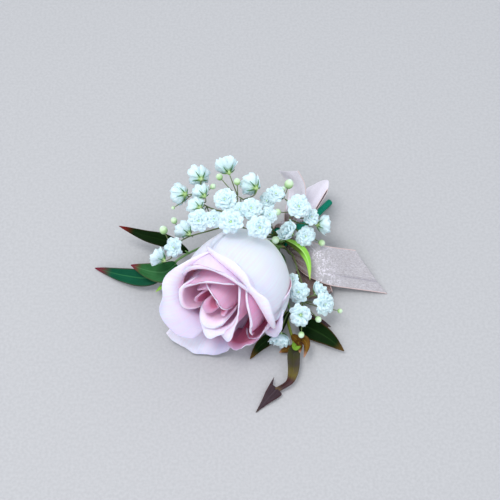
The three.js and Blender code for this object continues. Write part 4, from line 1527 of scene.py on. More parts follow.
@dataclass
class Stem:
    """The bound stem: the line that every stem joins, and the tape round it."""

    origin: Triple = (3.9, 1.0, 12.5)
    axis: Triple = (0.689, 0.668, -0.281)
    mouth: float = 11.0
    slot_radius: float = 2.35
    slot_depth: float = 4.5
    tape_wall: float = 0.3
    lap: float = 0.14
    laps: float = 9.0
    profile: tuple[tuple[float, float], ...] = (
        (4.0, 11.0), (4.0, 15.0), (3.6, 19.0), (2.9, 23.0), (1.6, 28.0), (1.42, 33.5), (1.38, 34.3),
        (0.9, 34.8), (0.0, 34.9),
    )
    tip: tuple[Triple, ...] = ((322.6, 208.8, 2.3), (330.2, 201.6, 1.6))
    tip_from: float = 33.9
    tip_radius: float = 1.3
    crepe: float = 0.04

    @property
    def frame(self) -> Matrix:
        """Returns the stem's frame: its Z runs to the cut end."""
        axis = Vector(self.axis).normalized()
        return frame_of(axis, Vector(self.origin), axis.cross(SIGHT.back))

    def point(self, distance: float, radius: float = 0.0, degrees: float = 0.0) -> Vector:
        """Finds a point beside the stem's axis.

        Args:
            distance: How far along the axis.
            radius: How far off the axis.
            degrees: Which side, turning towards the camera.

        Returns:
            The point.
        """
        return self.frame @ round_at(radius, math.radians(-degrees), distance)

    def held_end(self, slot: float, leave: float = 3.2, reach: float = 3.2) -> list[Vector]:
        """Lists the points of a twig's held end, from inside the tape to outside its mouth.

        Args:
            slot: The side of the mouth, in degrees.
            leave: How far off the axis the twig leaves.
            reach: How far before the mouth that is.

        Returns:
            The points.
        """
        return [
            self.point(self.mouth + self.slot_depth, self.slot_radius, slot),
            self.point(self.mouth + 1.2, self.slot_radius, slot),
            self.point(self.mouth - 0.8, self.slot_radius + 0.15, slot),
            self.point(self.mouth - reach, leave, slot),
        ]

    def build(self, palette: Palette) -> Thing:
        """Builds the tape, wound from the mouth to the closed end.

        Args:
            palette: The finishes.

        Returns:
            The piece.
        """
        shell = Shell()
        frame_here = self.frame
        path = Path([Vector((radius, 0.0, distance)) for radius, distance in self.profile])

        def point_at(u: float, v: float) -> Vector:
            """Returns a point of the tape, with a low step at the edge of each turn."""
            spot = path.at(path.even(v))
            turn = (u / 2.0 + 0.5 + v * self.laps) % 1.0
            out = spot.x
            if 0.0 < v < 0.985:
                out += self.lap * (turn - 0.5)
                out += self.crepe * noise.noise(Vector((u * 9.0, v * 30.0, 0.0)))
            return frame_here @ round_at(out, math.pi * u, spot.z)

        verts = shell.sheet(point_at, 36, 150)
        bmesh.ops.remove_doubles(shell.mesh, verts=verts, dist=WELD_DISTANCE)
        tip = Path([self.point(self.tip_from), *map(SIGHT.point, self.tip)])
        shell.tube(tip, lambda share: self.tip_radius, 24, 40)
        tape = palette.of(Finish.TAPE)
        return shell.piece("wound_tape", "floral_tape", "floral_tape", tape, self.tape_wall, -1.0)


@dataclass(frozen=True)
class Floret:
    """A double floret: where it is seen, how wide it is and which way it faces."""

    at: Triple
    size: float
    face: Triple
    openness: float = 0.0
    bell: bool = False

    @property
    def frame(self) -> Matrix:
        """Returns the floret's own frame."""
        return frame_of(SIGHT.facing(self.face), SIGHT.point(self.at), RIGHT)


@dataclass(frozen=True)
class Bud:
    """A round bud: where it is seen and how wide it is."""

    at: Triple
    size: float


@dataclass(frozen=True)
class Whorl:
    """A ring of a floret's petals: their number, reach and lift at foot and tip in degrees."""

    count: int
    reach: float
    width: float
    foot_lift: float
    tip_lift: float
    foot: float


OPEN_WHORLS = (
    Whorl(7, 0.98, 0.52, 20.0, -10.0, 0.07),
    Whorl(7, 0.86, 0.46, 38.0, 6.0, 0.06),
    Whorl(6, 0.70, 0.40, 54.0, 24.0, 0.05),
    Whorl(5, 0.54, 0.34, 68.0, 44.0, 0.04),
    Whorl(4, 0.40, 0.26, 80.0, 62.0, 0.03),
)
BELL_WHORLS = (
    Whorl(7, 1.55, 0.62, 26.0, 74.0, 0.10),
    Whorl(6, 1.50, 0.56, 45.0, 84.0, 0.08),
    Whorl(5, 1.40, 0.46, 66.0, 98.0, 0.05),
)


@dataclass(frozen=True)
class FloretPetal:
    """A notched, waved petal of a floret, in millimetres and radians.

    It starts off the floret's axis by its foot and grows to the side of its angle. The width is half its
    greatest one, the lift is its rise at the foot, and the bend is how much that changes up to the tip.
    """

    foot: float
    angle: float
    reach: float
    width: float
    lift: float
    bend: float
    roll: float
    phase: float

    def grow(self, shell: Shell, place: Matrix, half: float) -> None:
        """Grows the petal.

        Args:
            shell: The petals' mesh.
            place: The floret's frame.
            half: Half the floret's width.
        """
        turn = Matrix.Rotation(self.angle, 4, "Z")

        def point_at(u: float, v: float) -> Vector:
            """Returns a point of the petal."""
            notch = 1.0 - 0.16 * math.exp(-((u / 0.26) ** 2)) - 0.14 * u * u
            run = v * (1.0 - (1.0 - notch) * smooth(v, 0.45, 1.0))
            turned = self.lift + self.bend * run
            if abs(self.bend) > 1e-3:
                out = self.reach * (math.sin(turned) - math.sin(self.lift)) / self.bend
                up = self.reach * (math.cos(self.lift) - math.cos(turned)) / self.bend
            else:
                out, up = (self.reach * run * part(self.lift) for part in (math.cos, math.sin))
            wide = self.width * (0.16 + 0.84 * math.sin(math.pi * min(0.62, v * 0.66)) ** 1.3)
            up = half * 0.02 + up + 0.22 * self.width * u * u * (1.0 - v)
            wave = 0.16 * self.width * v * math.sin(3.6 * u + self.phase) + self.roll * self.width * u * v
            return place @ (turn @ Vector((self.foot + out, u * wide, up + wave)))

        shell.sheet(point_at, 4, 4)


@dataclass(frozen=True)
class Teeth:
    """The teeth of a bell floret's calyx, in shares of half its width and in degrees."""

    count: int = 5
    turn: float = 0.4
    spacing: float = 0.4
    foot: tuple[float, float] = (0.12, -0.38)
    length: float = 0.86
    rise: tuple[float, float] = (14.0, 20.0)
    radius: float = 0.085
    taper: float = 0.75

    def grow(self, shell: Shell, place: Matrix, half: float, finish: int) -> None:
        """Grows the teeth round a floret.

        Args:
            shell: The stems' mesh.
            place: The floret's frame.
            half: Half the floret's width.
            finish: The place of their finish in the piece's list.
        """
        for i in range(self.count):
            turn = Matrix.Rotation(self.turn + i * self.spacing * math.pi, 4, "Z")
            line = []
            for share in (0.0, 0.35, 0.7, 1.0):
                rise = math.radians(self.rise[0] + self.rise[1] * share)
                out = self.foot[0] + self.length * share * math.cos(rise)
                up = self.foot[1] + self.length * share * math.sin(rise)
                line.append(place @ (turn @ Vector((half * out, 0.0, half * up))))
            shell.tube(
                Path(line), lambda share: half * self.radius * (1.0 - self.taper * share), 6, 6, finish=finish
            )


TEETH = Teeth()
SPRAY_FINISHES = (Finish.TWIG, Finish.CALYX, Finish.BUD, Finish.CALYX_TOOTH)


@dataclass
class Spray:
    """A spray of gypsophila: twigs from the tape's mouth, double florets and round buds."""

    name: str
    slot: float
    leave: float
    trunk: tuple[Triple, ...]
    florets: tuple[Floret, ...]
    buds: tuple[Bud, ...]
    seed: int
    reach: float = 3.2
    petal_thickness: float = 0.14
    twig_radius: float = 0.42
    branch_radius: float = 0.22
    bell_sunk: float = 0.3
    hubs: int = 8

    def grow_petals(self, shell: Shell, floret: Floret, draw: random.Random) -> None:
        """Grows the whorls of one floret.

        Args:
            shell: The petals' mesh.
            floret: The floret.
            draw: The source of chance.
        """
        half = floret.size / 2.0
        whorls = BELL_WHORLS if floret.bell else OPEN_WHORLS
        sunk = -self.bell_sunk * half if floret.bell else 0.0
        place = floret.frame @ Matrix.Translation((0.0, 0.0, sunk))
        for whorl in whorls[:len(whorls) - round(floret.openness)]:
            turn = draw.random() * 2.0 * math.pi
            for i in range(whorl.count):
                FloretPetal(
                    foot=half * whorl.foot,
                    angle=turn + (i + 0.5 * (draw.random() - 0.5)) / whorl.count * 2.0 * math.pi,
                    reach=half * whorl.reach * (0.88 + 0.2 * draw.random()),
                    width=half * whorl.width * (0.9 + 0.25 * draw.random()),
                    lift=math.radians(whorl.foot_lift + 14.0 * (draw.random() - 0.5)),
                    bend=math.radians(whorl.tip_lift - whorl.foot_lift + 24.0 * (draw.random() - 0.5)),
                    roll=0.5 * (draw.random() - 0.5),
                    phase=draw.random() * 6.0,
                ).grow(shell, place, half)

    @staticmethod
    def grow_cup(shell: Shell, floret: Floret) -> None:
        """Grows the green cup behind a floret and its small green eye.

        Args:
            shell: The stems' mesh.
            floret: The floret.
        """
        place = floret.frame
        half = floret.size / 2.0
        profile = ((0.0, -0.66), (0.07, -0.6), (0.19, -0.42), (0.23, -0.16), (0.20, 0.04), (0.0, 0.02))

        def ribs(u: float, v: float) -> float:
            """Returns the cup's five ribs."""
            return 0.02 * half * math.sin(5.0 * math.pi * u)

        green = SPRAY_FINISHES.index(Finish.CALYX)
        shell.turned([(half * out, half * up) for out, up in profile], place, 10, 8, ribs, finish=green)
        eye = ((0.0, 0.0), (0.10, 0.06), (0.11, 0.2), (0.05, 0.32), (0.0, 0.36))
        shell.turned([(half * out, half * up) for out, up in eye], place, 8, 6, finish=green)
        if floret.bell:
            TEETH.grow(shell, place, half, SPRAY_FINISHES.index(Finish.CALYX_TOOTH))

    @staticmethod
    def grow_bud(shell: Shell, bud: Bud, towards: Vector) -> None:
        """Grows a furrowed round bud in its green cup.

        Args:
            shell: The stems' mesh.
            bud: The bud.
            towards: The way that it points.
        """
        place = frame_of(towards, SIGHT.point(bud.at), SIGHT.back)
        half = bud.size / 2.0
        profile = (
            (0.0, -1.12), (0.34, -1.05), (0.78, -0.7), (0.99, -0.1), (0.93, 0.42), (0.6, 0.86),
            (0.2, 1.08), (0.0, 1.1),
        )

        def furrows(u: float, v: float) -> float:
            """Returns the folds between the closed petals."""
            return -0.07 * half * abs(math.cos(2.5 * math.pi * u + 2.0 * v)) ** 6 * smooth(v, 0.4, 0.7)

        closed = SPRAY_FINISHES.index(Finish.BUD)
        shell.turned([(half * out, half * up) for out, up in profile], place, 20, 14, furrows, finish=closed)

    def build(self, stem: Stem, palette: Palette) -> None:
        """Builds the spray's petals and its stems.

        Args:
            stem: The bound stem.
            palette: The finishes.
        """
        draw = random.Random(self.seed)
        petals, stems = Shell(), Shell()
        trunk = Path([*stem.held_end(self.slot, self.leave, self.reach), *map(SIGHT.point, self.trunk)])
        stems.tube(trunk, lambda share: self.twig_radius * (1.0 - 0.4 * share), 8, 40)
        hubs = [trunk.at(0.5 + 0.5 * i / self.hubs) for i in range(self.hubs + 1)]

        def nearest(point: Vector) -> Vector:
            """Returns the hub nearest to a point."""
            return min(hubs, key=lambda hub: (hub - point).length)

        for floret in self.florets:
            way = SIGHT.facing(floret.face)
            end = SIGHT.point(floret.at) - way * floret.size * 0.28
            hub = nearest(end)
            before = end - way * (hub - end).length * 0.4
            path = Path([hub, hub.lerp(before, 0.6), end])
            stems.tube(path, lambda share: self.branch_radius * (1.1 - 0.2 * share), 7, 14, tone=0.5)
            self.grow_cup(stems, floret)
            self.grow_petals(petals, floret, draw)
        for bud in self.buds:
            centre = SIGHT.point(bud.at)
            hub = nearest(centre)
            way = (centre - hub).normalized()
            sag = Vector((0.0, 0.0, -0.06 * (centre - hub).length))
            path = Path([hub, hub.lerp(centre, 0.5) + sag, centre - way * bud.size * 0.4])
            stems.tube(path, lambda share: self.branch_radius * 0.85, 7, 12, tone=0.5)
            self.grow_bud(stems, bud, way)
        petals.piece(
            f"{self.name}_petals", self.name, "gypsophila", palette.of(Finish.FLORET), self.petal_thickness
        )
        stems.piece(f"{self.name}_stems", self.name, "gypsophila", palette.of(*SPRAY_FINISHES))


SPRAYS = (
    Spray(
        "gypsophila_left", 216, 4.6,
        ((235, 226, 18), (205, 232, 20), (186, 238, 21), (172, 247, 20)),
        (
            Floret((187, 232, 24.5), 7.2, (-0.6, 0.5, -0.4), bell=True),
            Floret((175, 247.5, 23), 8.2, (-0.5, 0.0, 0.8)),
            Floret((161.2, 258.8, 20.5), 7.2, (-0.8, 0.45, -0.25), bell=True),
        ),
        (Bud((163.5, 230, 24), 3.2), Bud((174, 220.5, 27), 2.5)),
        seed=11,
    ),
    Spray(
        "gypsophila_upper_left", 180, 4.0,
        ((240, 214, 23), (216, 210, 28), (203, 204, 31), (193, 194, 33)),
        (
            Floret((200.2, 178.2, 34), 8.2, (-0.3, 0.35, -0.85), bell=True),
            Floret((183.3, 194.4, 33.5), 7.9, (-0.6, 0.05, -0.75), bell=True),
            Floret((202.8, 194.3, 36.5), 7.2, (-0.5, 0.55, -0.6), bell=True),
            Floret((198.6, 207.6, 36.5), 7.0, (-0.5, 0.1, -0.85), bell=True),
            Floret((199, 220.5, 37), 8.6, (-0.1, -0.2, 1)),
            Floret((213.5, 219, 37.8), 7.0, (0.1, 0.1, 1)),
        ),
        (Bud((213, 186.5, 37), 2.2), Bud((173, 208, 33), 1.4)),
        seed=18,
    ),
    Spray(
        "gypsophila_top", 144, 5.2,
        ((268, 214, 24), (254, 206, 31), (244, 200, 36), (238, 196, 38)),
        (
            Floret((227.8, 169.6, 38), 8.2, (-0.3, 0.85, -0.4), bell=True),
            Floret((225, 199.5, 43), 8.8, (-0.1, 0.1, 1)),
            Floret((253.9, 186.8, 39), 8.4, (-0.55, 0.4, -0.65), bell=True),
            Floret((251, 208.5, 43.5), 8.6, (0.1, 0.2, 1)),
            Floret((231, 221.5, 44.5), 9.4, (-0.1, -0.1, 1)),
            Floret((259.5, 227, 43), 9.4, (0.1, -0.2, 1)),
            Floret((240, 210, 42.5), 6.8, (-0.1, 0.3, 1)),
            Floret((269, 215, 40), 6.4, (0.4, 0.2, 0.9)),
        ),
        (Bud((237, 181.7, 42), 2.6), Bud((219.4, 177, 39), 2.6)),
        seed=25, reach=2.4,
    ),
    Spray(
        "gypsophila_right", 108, 4.4,
        ((288, 222, 21), (291, 214, 24), (290, 204, 26), (284, 198, 27)),
        (
            Floret((268, 201, 31), 7.6, (-0.5, 0.1, 0.8)),
            Floret((275.5, 194.5, 32), 7.6, (0.1, 0.5, 0.85)),
            Floret((298.5, 206.5, 30), 9.6, (0.1, 0.1, 1)),
            Floret((305, 236, 19), 8.4, (0.3, -0.2, 0.9)),
            Floret((289.5, 233, 23.5), 7.4, (-0.55, 0.3, 0.5), bell=True),
            Floret((320, 224.7, 19.5), 7.2, (0.85, 0.05, -0.35), bell=True),
            Floret((311, 217, 24), 7.0, (0.4, 0.2, 0.9)),
        ),
        (
            Bud((289, 184, 31), 3.6), Bud((283, 189, 30.5), 2.0), Bud((275.5, 240, 24), 3.0),
            Bud((277.5, 212, 30), 2.6), Bud((321.7, 243, 14.5), 2.6),
        ),
        seed=32, reach=1.8,
    ),
    Spray(
        "gypsophila_lower", 36, 4.4,
        ((293, 256, 13), (298, 272, 12.5), (303, 288, 11.5), (303, 302, 10.5)),
        (
            Floret((298.4, 292.5, 10.8), 9.0, (0.0, 0.2, 1)),
            Floret((300.6, 314.5, 12.5), 9.0, (0, -0.2, 1), openness=2.0),
            Floret((324, 304, 12.5), 8.8, (0.5, -0.1, 0.85)),
            Floret((317.5, 292.5, 12.6), 6.4, (0.6, 0.55, 0.45), bell=True),
            Floret((280.5, 336.5, 5.4), 7.4, (0.0, -0.85, 0.4), bell=True),
            Floret((293, 279, 12.2), 4.8, (-0.2, 0.3, 0.9)),
        ),
        (Bud((340, 311, 10.5), 1.9), Bud((301.3, 334.8, 9.5), 2.4), Bud((318.4, 319.4, 11.5), 2.4)),
        seed=39, reach=2.0,
    ),
)


@dataclass(frozen=True)
class Leaf:
    """A leaf: where its midrib is seen, its greatest width, fold and finish."""

    path: tuple[Triple, ...]
    width: float
    bias: float = 0.8
    fold: float = 0.25
    face: Triple = (0.0, 0.0, 1.0)
    foot: Triple | None = None
    finish: int = 0
    wave: float = 0.3
    ends: float = 0.0
    across: int = 14
    along: int = 44

    def grow(self, shell: Shell) -> None:
        """Grows the leaf's blade.

        Args:
            shell: The blades' mesh.
        """
        curve = Path([SIGHT.point(place) for place in self.path])
        looks = SIGHT.facing(self.face)

        def point_at(u: float, v: float) -> Vector:
            """Returns a point of the blade, folded along its midrib and waved at its margins."""
            centre, tangent = curve.at(v), curve.tangent(v)
            side = tangent.cross(looks).normalized()
            up = side.cross(tangent).normalized()
            shape = math.sin(math.pi * min(1.0, 0.05 + 0.945 * v ** self.bias)) ** 0.85
            half = max(0.02, self.width / 2.0 * max(shape, self.ends))
            rise = self.fold * abs(u) * half - 0.1 * half * u * u
            rise += self.wave * u * u * math.sin(7.0 * v + 2.0 * u) * min(1.0, half / 2.0)
            return centre + side * (u * half) + up * rise

        shell.sheet(point_at, self.across, self.along, finish=self.finish)


@dataclass
class Sprig:
    """A sprig: its twig from the tape's mouth and its leaves."""

    name: str
    slot: float
    leave: float
    trunk: tuple[Triple, ...]
    leaves: tuple[Leaf, ...]
    material_slot: str
    leaf_finishes: tuple[Finish, ...]
    stem_finish: Finish = Finish.GREEN_STEM
    leaf_thickness: float = 0.3
    twig_radius: float = 0.48

    def build(self, stem: Stem, palette: Palette) -> None:
        """Builds the sprig's blades and its twigs.

        Args:
            stem: The bound stem.
            palette: The finishes.
        """
        blades, twigs = Shell(), Shell()
        trunk = Path([*stem.held_end(self.slot, self.leave), *map(SIGHT.point, self.trunk)])
        twigs.tube(trunk, lambda share: self.twig_radius, 10, 48)
        for leaf in self.leaves:
            leaf.grow(blades)
            if leaf.foot:
                end = SIGHT.point(leaf.path[0]).lerp(SIGHT.point(leaf.path[1]), 0.15)
                start = SIGHT.point(leaf.foot)
                path = Path([start, start.lerp(end, 0.5), end])
                twigs.tube(path, lambda share: self.twig_radius * (1.0 - 0.35 * share), 8, 10)
        finishes = palette.of(*self.leaf_finishes)
        blades.piece(f"{self.name}_blades", self.name, self.material_slot, finishes, self.leaf_thickness)
        twigs.piece(f"{self.name}_twigs", self.name, self.material_slot, palette.of(self.stem_finish))


SPRIGS = (
    Sprig(
        "leaf_sprig_left", 252, 4.4, ((235, 238, 8), (205, 246, 6.5), (182, 257, 6.5), (168, 268, 6.5)),
        (
            Leaf(((188, 252, 7), (166, 241, 9), (145, 235.5, 11), (119, 226, 12)), 5.4, foot=(190, 254, 6.6)),
            Leaf(((170, 268, 6.5), (150, 277.5, 5.5), (125, 275.5, 3.3), (95, 268, 0.6)), 6.8, bias=0.95,
                 foot=(168, 268, 6.5), finish=1),
            Leaf(((176, 264, 7), (165, 272, 9.6), (150, 271, 9.8), (131, 265, 8.8)), 8.2,
                 foot=(176, 262, 6.6), finish=2),
            Leaf(((170, 278, 5.5), (163, 285.5, 4.5), (155.5, 292, 4)), 1.7, foot=(170, 269, 6.4), finish=3),
        ),
        "dark_leaf", (Finish.DARK_RED_TIP, Finish.TEAL_LEAF, Finish.FRESH_LEAF, Finish.LIME_LEAF),
    ),
    Sprig(
        "leaf_sprig_lower", 0, 4.2, ((284, 258, 4.8), (285, 285, 3.4), (290, 310, 2.2), (300, 326, 2.0)),
        (
            Leaf(((300, 324, 2.4), (312, 329, 3.2), (328, 338, 3.6), (344, 351, 2.2)), 8.2, bias=0.7),
            Leaf(((298, 314, 3), (310, 318, 4), (322, 323, 5), (331, 327, 5)), 3.2, finish=1),
            Leaf(((290, 310, 2.4), (283, 322, 4.6), (272, 336, 3.4), (260, 346, 2), (250, 359, 1.2)), 4.6,
                 bias=1.3),
        ),
        "dark_leaf", (Finish.DARK_LEAF, Finish.RED_LEAF),
    ),
    Sprig(
        "lime_leaf", 72, 4.4, ((285, 240, 16.5),),
        (
            Leaf(((285, 240, 16.5), (295, 245, 16.5), (303, 252, 15.6), (308, 262, 14.5), (310, 280, 12.5)),
                 3.6, fold=0.3, face=(0.3, 0.3, 1.0), wave=0.1),
        ),
        "lime_leaf", (Finish.LIME_LEAF,),
    ),
    Sprig(
        "bract_twig", 324, 4.0,
        ((277, 262, 2.6), (281, 290, 1.8), (286, 315, 1.8), (291, 333, 3.0), (295, 346, 5.0)),
        (
            Leaf(((297, 342, 5.4), (303, 339.5, 7.0), (306.5, 345, 7.8), (304, 357.5, 6.4)), 3.6,
                 face=(0.4, 0.0, 1.0), finish=1),
            Leaf(((296, 349, 4.2), (290, 348.5, 3.2), (285, 350, 2.4), (279, 352.5, 1.8)), 3.2,
                 face=(0.0, 0.4, 1.0), finish=1),
            Leaf(((292, 335, 4.2), (297, 340, 5.4), (299.5, 346, 6.0), (300, 353, 5.4)), 3.4,
                 face=(-0.3, 0.2, 1.0), finish=1),
            Leaf(((293, 343, 5.8), (296, 348, 6.8), (301, 346, 7.4)), 2.0, finish=2, wave=0.1),
            Leaf(((294.5, 347, 5.0), (293.6, 356, 4.6), (293.6, 366, 4.0), (292.3, 375, 3.3),
                  (289.5, 381.5, 2.9), (283, 386.5, 2.3), (276, 390, 1.8)), 4.8,
                 bias=0.45, fold=0.5, wave=0.1, ends=0.4, finish=3),
            Leaf(((277, 388.5, 2.0), (270, 396, 1.5), (264, 403, 1.0), (256, 412.4, 0.4)), 5.9,
                 bias=0.3, face=(-0.2, 0.0, 1.0), wave=0.15),
            Leaf(((270, 393, 1.7), (270.6, 387, 2.0), (274.1, 377, 2.4)), 2.2, bias=0.4, wave=0.1),
        ),
        "red_leaf", (Finish.RED_LEAF, Finish.AMBER_BRACT, Finish.BRACT_CUP, Finish.TWISTED_STALK),
        Finish.RED_STEM, twig_radius=0.58,
    ),
)


RIBBON_WIDTH = 16.5
RIBBON_THICKNESS = 0.16
RIBBON_PLEATS = 14.0


def finish_ribbon(shell: Shell, name: str, length: float, palette: Palette) -> Thing:
    """Finishes a length of the ribbon as a piece.

    Args:
        shell: The ribbon's mesh.
        name: The node that it stands for.
        length: Its length in millimetres; not used.
        palette: The finishes.

    Returns:
        The piece.
    """
    piece = shell.piece(f"{name}_cloth", name, "ribbon", palette.of(Finish.RIBBON), RIBBON_THICKNESS)
    return piece


@dataclass
class RibbonTail:
    """A free end of the ribbon: a strip along a path, gathered at the knot and cut at its end."""

    name: str
    path: tuple[Triple, ...]
    across: Triple
    skew: float = 0.0
    gather: float = 0.3
    wave: float = 0.5
    tone: float = 0.0
    crease: float = 0.0
    crease_at: float = -0.42
    crease_width: float = 0.07
    pleat_height: float = 1.05
    crumple: float = 0.22
    crumple_reach: float = 16.0
    spread: float = 6.0

    def build(self, palette: Palette) -> Thing:
        """Builds the tail.

        Args:
            palette: The finishes.

        Returns:
            The piece.
        """
        curve = Path([SIGHT.point(place) for place in self.path])
        length = curve.length
        side = SIGHT.facing(self.across) * (RIBBON_WIDTH / 2.0)

        def point_at(u: float, v: float) -> Vector:
            """Returns a point of the tail, pleated where it is gathered."""
            cut = self.skew * u * v * v / length
            run = min(1.0, max(0.0, v + cut))
            share = curve.even(run)
            tangent = curve.tangent(share)
            centre = curve.at(share) + tangent * ((v + cut - run) * length)
            gathered_and_shade = 1.0 - (1.0 - self.gather) * math.exp(-v * length / self.spread)
            normal = tangent.cross(side).normalized()
            waved = RIBBON_PLEATS * u + 1.2 * math.sin(3.0 * v)
            rise = (1.0 - gathered_and_shade) * self.pleat_height * math.sin(waved)
            rise += self.wave * v * math.sin(2.4 * u + 5.0 * v)
            near = self.crumple * math.exp(-v * length / self.crumple_reach)
            rise += near * noise.noise(Vector((u * 3.0, v * 9.0, length)))
            beside = (u - self.crease_at) / self.crease_width
            rise -= self.crease * smooth(v, 0.35, 0.7) * math.exp(-(beside ** 2))
            return centre + side * (u * gathered_and_shade) + normal * rise

        shell = Shell()
        shell.sheet(point_at, 64, 84, tone=self.tone)
        return finish_ribbon(shell, self.name, length, palette)


@dataclass
class RibbonLoop:
    """A loop of the bow: out along one side, round its end and back along the other."""

    name: str
    start: Triple
    end: Triple
    opening: Triple
    belly: float
    gather: float = 0.26
    tone: float = 0.0
    rounding: float = 0.06
    corner: float = 0.0
    pinch: float = 0.0
    spread: float = 6.0
    lopsided: float = 0.0
    turned: float = 0.94
    pleat_height: float = 0.9
    crumple: float = 0.2

    def build(self, palette: Palette) -> Thing:
        """Builds the loop.

        Args:
            palette: The finishes.

        Returns:
            The piece.
        """
        start = SIGHT.point(self.start)
        out = SIGHT.point(self.end) - start
        reach_out = out.length
        out.normalize()
        opening = SIGHT.facing(self.opening)
        opening = (opening - out * opening.dot(out)).normalized()
        side = out.cross(opening) * (RIBBON_WIDTH / 2.0)

        def point_at(u: float, v: float) -> Vector:
            """Returns a point of the loop, pleated where it is gathered."""
            angle = math.pi * (2.0 * v - 1.0) * self.turned
            reach = (1.0 + math.cos(angle)) / 2.0
            far_edge = max(0.0, u) ** 3
            rise = self.belly * math.sin(angle) * (0.35 + 0.65 * reach) * (1.0 - self.pinch * far_edge)
            spread = self.spread - self.lopsided * max(0.0, u)
            gathered_and_shade = 1.0 - (1.0 - self.gather) * math.exp(-reach * reach_out / spread)
            pleats = (1.0 - gathered_and_shade) * self.pleat_height * math.sin(RIBBON_PLEATS * u)
            rise += pleats * abs(math.sin(angle)) ** 0.5
            rise += self.crumple * noise.noise(Vector((u * 2.5, v * 7.0, self.belly)))
            along = out * (reach * reach_out * (1.0 - self.rounding * u * u - self.corner * far_edge))
            return start + along + opening * rise + side * (u * gathered_and_shade)

        middle = [point_at(0.0, i / 100.0) for i in range(101)]
        length = sum((far - near).length for near, far in zip(middle, middle[1:]))
        shell = Shell()
        shell.sheet(point_at, 56, 110, tone=self.tone)
        return finish_ribbon(shell, self.name, length, palette)


@dataclass
class Bow:
    """The ribbon: wound round the tape, knotted, and tied with two loops and two tails."""

    wraps: tuple[tuple[float, float], ...] = (
        (4.36, 12.2), (4.9, 11.95), (5.25, 12.7), (5.4, 14.2), (5.05, 15.2), (5.35, 16.3), (4.95, 17.6),
        (4.36, 17.2),
    )
    fold_depth: float = 0.14
    fold_from: float = 4.6
    knot_at: Triple = (14.6, 6.7, 4.0)
    knot_size: Triple = (2.4, 3.4, 3.0)

    def build_knot(self, stem: Stem, palette: Palette) -> Thing:
        """Builds the wound band and the pleated knot on its side.

        Args:
            stem: The bound stem.
            palette: The finishes.

        Returns:
            The piece.
        """
        shell = Shell()
        frame_here = stem.frame
        section = Path([Vector((radius, 0.0, distance)) for radius, distance in (*self.wraps, self.wraps[0])])

        def band(u: float, v: float) -> Vector:
            """Returns a point of the band, with folds that run round it."""
            spot = section.at(section.even(v))
            angle = math.pi * u
            out = spot.x
            if out > self.fold_from:
                out += self.fold_depth * math.sin(9.0 * spot.z + 1.5 * math.sin(2.0 * angle))
            return frame_here @ round_at(out, angle, spot.z)

        shell.closed(band, 56, 48)
        centre = stem.point(*self.knot_at)
        place = frame_of(Vector(stem.axis), centre, Vector(stem.axis).normalized().cross(SIGHT.back))

        def knot(u: float, v: float) -> Vector:
            """Returns a point of the knot, with pleats across it."""
            tilt = math.pi * (v - 0.5)
            angle = math.pi * u
            swell = 1.0 + 0.07 * math.sin(7.0 * angle + 4.0 * v) * math.cos(tilt)
            out = math.cos(tilt) * swell
            width, depth, height = self.knot_size
            spot = (width * out * math.cos(angle), depth * out * math.sin(angle), height * math.sin(tilt))
            return place @ Vector(spot)

        shell.closed(knot, 40, 24)
        return shell.piece("ribbon_knot_cloth", "ribbon_knot", "ribbon", palette.of(Finish.RIBBON))

    def build(self, stem: Stem, palette: Palette) -> None:
        """Builds the knot, the tails and the loops.

        Args:
            stem: The bound stem.
            palette: The finishes.
        """
        self.build_knot(stem, palette)
        # The right tail's crease is also darkened with painted shade in its finish.
        RibbonTail(
            "ribbon_tail_right",
            ((291, 252, 10.4), (300, 256, 10.0), (311, 260, 9.2), (326, 265, 8.2), (350, 269, 5.1),
             (371, 272, 3.5)),
            (-0.12, 0.95, -0.22), skew=-5.4, gather=0.3, crease=0.6, spread=3.0,
        ).build(palette)
        # The upper tail's tone over 0 paints light over it.
        RibbonTail(
            "ribbon_tail_upper",
            ((289, 224, 16.6), (292, 212, 17), (297, 197, 18), (295.5, 184, 19), (287.5, 171, 20)),
            (0.44, -0.07, 0.89), wave=0.6, tone=0.9,
        ).build(palette)
        # The upper loop's tone over 0 paints light over it.
        RibbonLoop(
            "ribbon_loop_upper", (298, 223, 15.2), (322.5, 181, 13.0), (-0.687, 0.636, 0.359), 1.5, tone=1.0,
            rounding=0.04, corner=0.3, pinch=0.6, lopsided=4.0,
        ).build(palette)
        # The lower loop's tone under 0 paints shade over all of it.
        RibbonLoop(
            "ribbon_loop_lower", (305, 264, 4.2), (314, 298, 3.4), (0.0, 0.3, 1.0), 1.5, tone=-1.0
        ).build(palette)


@dataclass(frozen=True)
class Lamp:
    """A soft square light: its power, size, place and colour."""

    name: str
    watts: float
    size: float
    place: Triple
    colour: Colour
    aim: Triple = (0.0, 0.01, 0.015)

    def hang(self) -> Thing:
        """Hangs the light and turns it to the object.

        Returns:
            The light's object.
        """
        data = bpy.data.lights.new(self.name, "AREA")
        data.energy = self.watts
        data.size = self.size
        data.color = self.colour
        lamp = add_thing(self.name, data)
        lamp.location = self.place
        lamp.rotation_mode = "QUATERNION"
        lamp.rotation_quaternion = (Vector(self.aim) - lamp.location).to_track_quat("-Z", "Y")
        return lamp


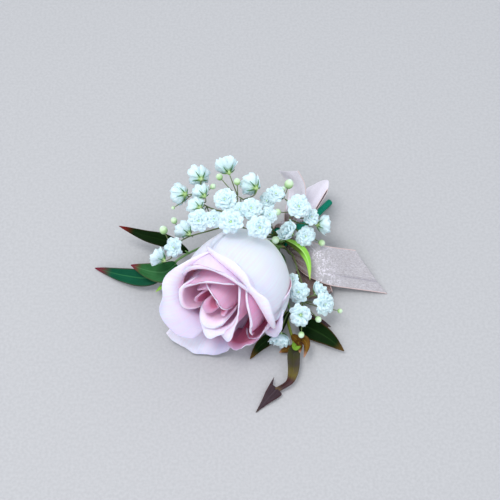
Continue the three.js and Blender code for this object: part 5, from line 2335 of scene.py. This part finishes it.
@dataclass
class Studio:
    """The plain floor, the soft lights and the camera."""

    floor_size: float = 1.6
    sky: Colour = (0.88, 0.93, 1.0)
    sky_strength: float = 0.90
    lamps: tuple[Lamp, ...] = (
        Lamp("front_light", 0.5, 0.30, (-0.06, -0.40, 0.42), (1.0, 0.97, 0.98)),
        Lamp("key_light", 2.2, 0.24, (-0.15, -0.04, 0.70), (1.0, 0.99, 0.98)),
        Lamp("rim_light", 0.5, 0.50, (0.42, 0.30, 0.50), (0.92, 0.95, 1.0)),
    )

    def build(self, palette: Palette) -> None:
        """Lays the floor, hangs the lights and sets the camera.

        Args:
            palette: The finishes.
        """
        mesh = bmesh.new()
        bmesh.ops.create_grid(mesh, x_segments=1, y_segments=1, size=self.floor_size / 2.0)
        data = bpy.data.meshes.new("floor")
        mesh.to_mesh(data)
        mesh.free()
        data.materials.append(palette.of(Finish.FLOOR)[0])
        floor = add_thing("floor", data)
        world = bpy.data.worlds.new("studio")
        bpy.context.scene.world = world
        world.use_nodes = True
        sky = world.node_tree.nodes["Background"]
        sky.inputs["Color"].default_value = (*self.sky, 1.0)
        sky.inputs["Strength"].default_value = self.sky_strength
        for lamp in self.lamps:
            lamp.hang()
        bpy.context.scene.view_settings.view_transform = "Standard"
        SIGHT.set_camera()


def dress_wire(palette: Palette) -> None:
    """Gives the wire inside the tape its finish.

    Args:
        palette: The finishes.
    """
    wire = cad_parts["stem_wire"]
    wire.data.materials.clear()
    wire.data.materials.append(palette.of(Finish.WIRE)[0])
    log.info("stem_wire: kept from the frame, newly dressed")


def main() -> None:
    """Builds the whole boutonniere in order."""
    logging.basicConfig(level=logging.INFO, format="%(message)s")
    palette = Palette()
    stem = Stem()
    Studio().build(palette)
    Rose().build(stem, palette)
    stem.build(palette)
    dress_wire(palette)
    for spray in SPRAYS:
        spray.build(stem, palette)
    for sprig in SPRIGS:
        sprig.build(stem, palette)
    Bow().build(stem, palette)
    bpy.context.view_layer.update()


if __name__ == "__main__":
    main()
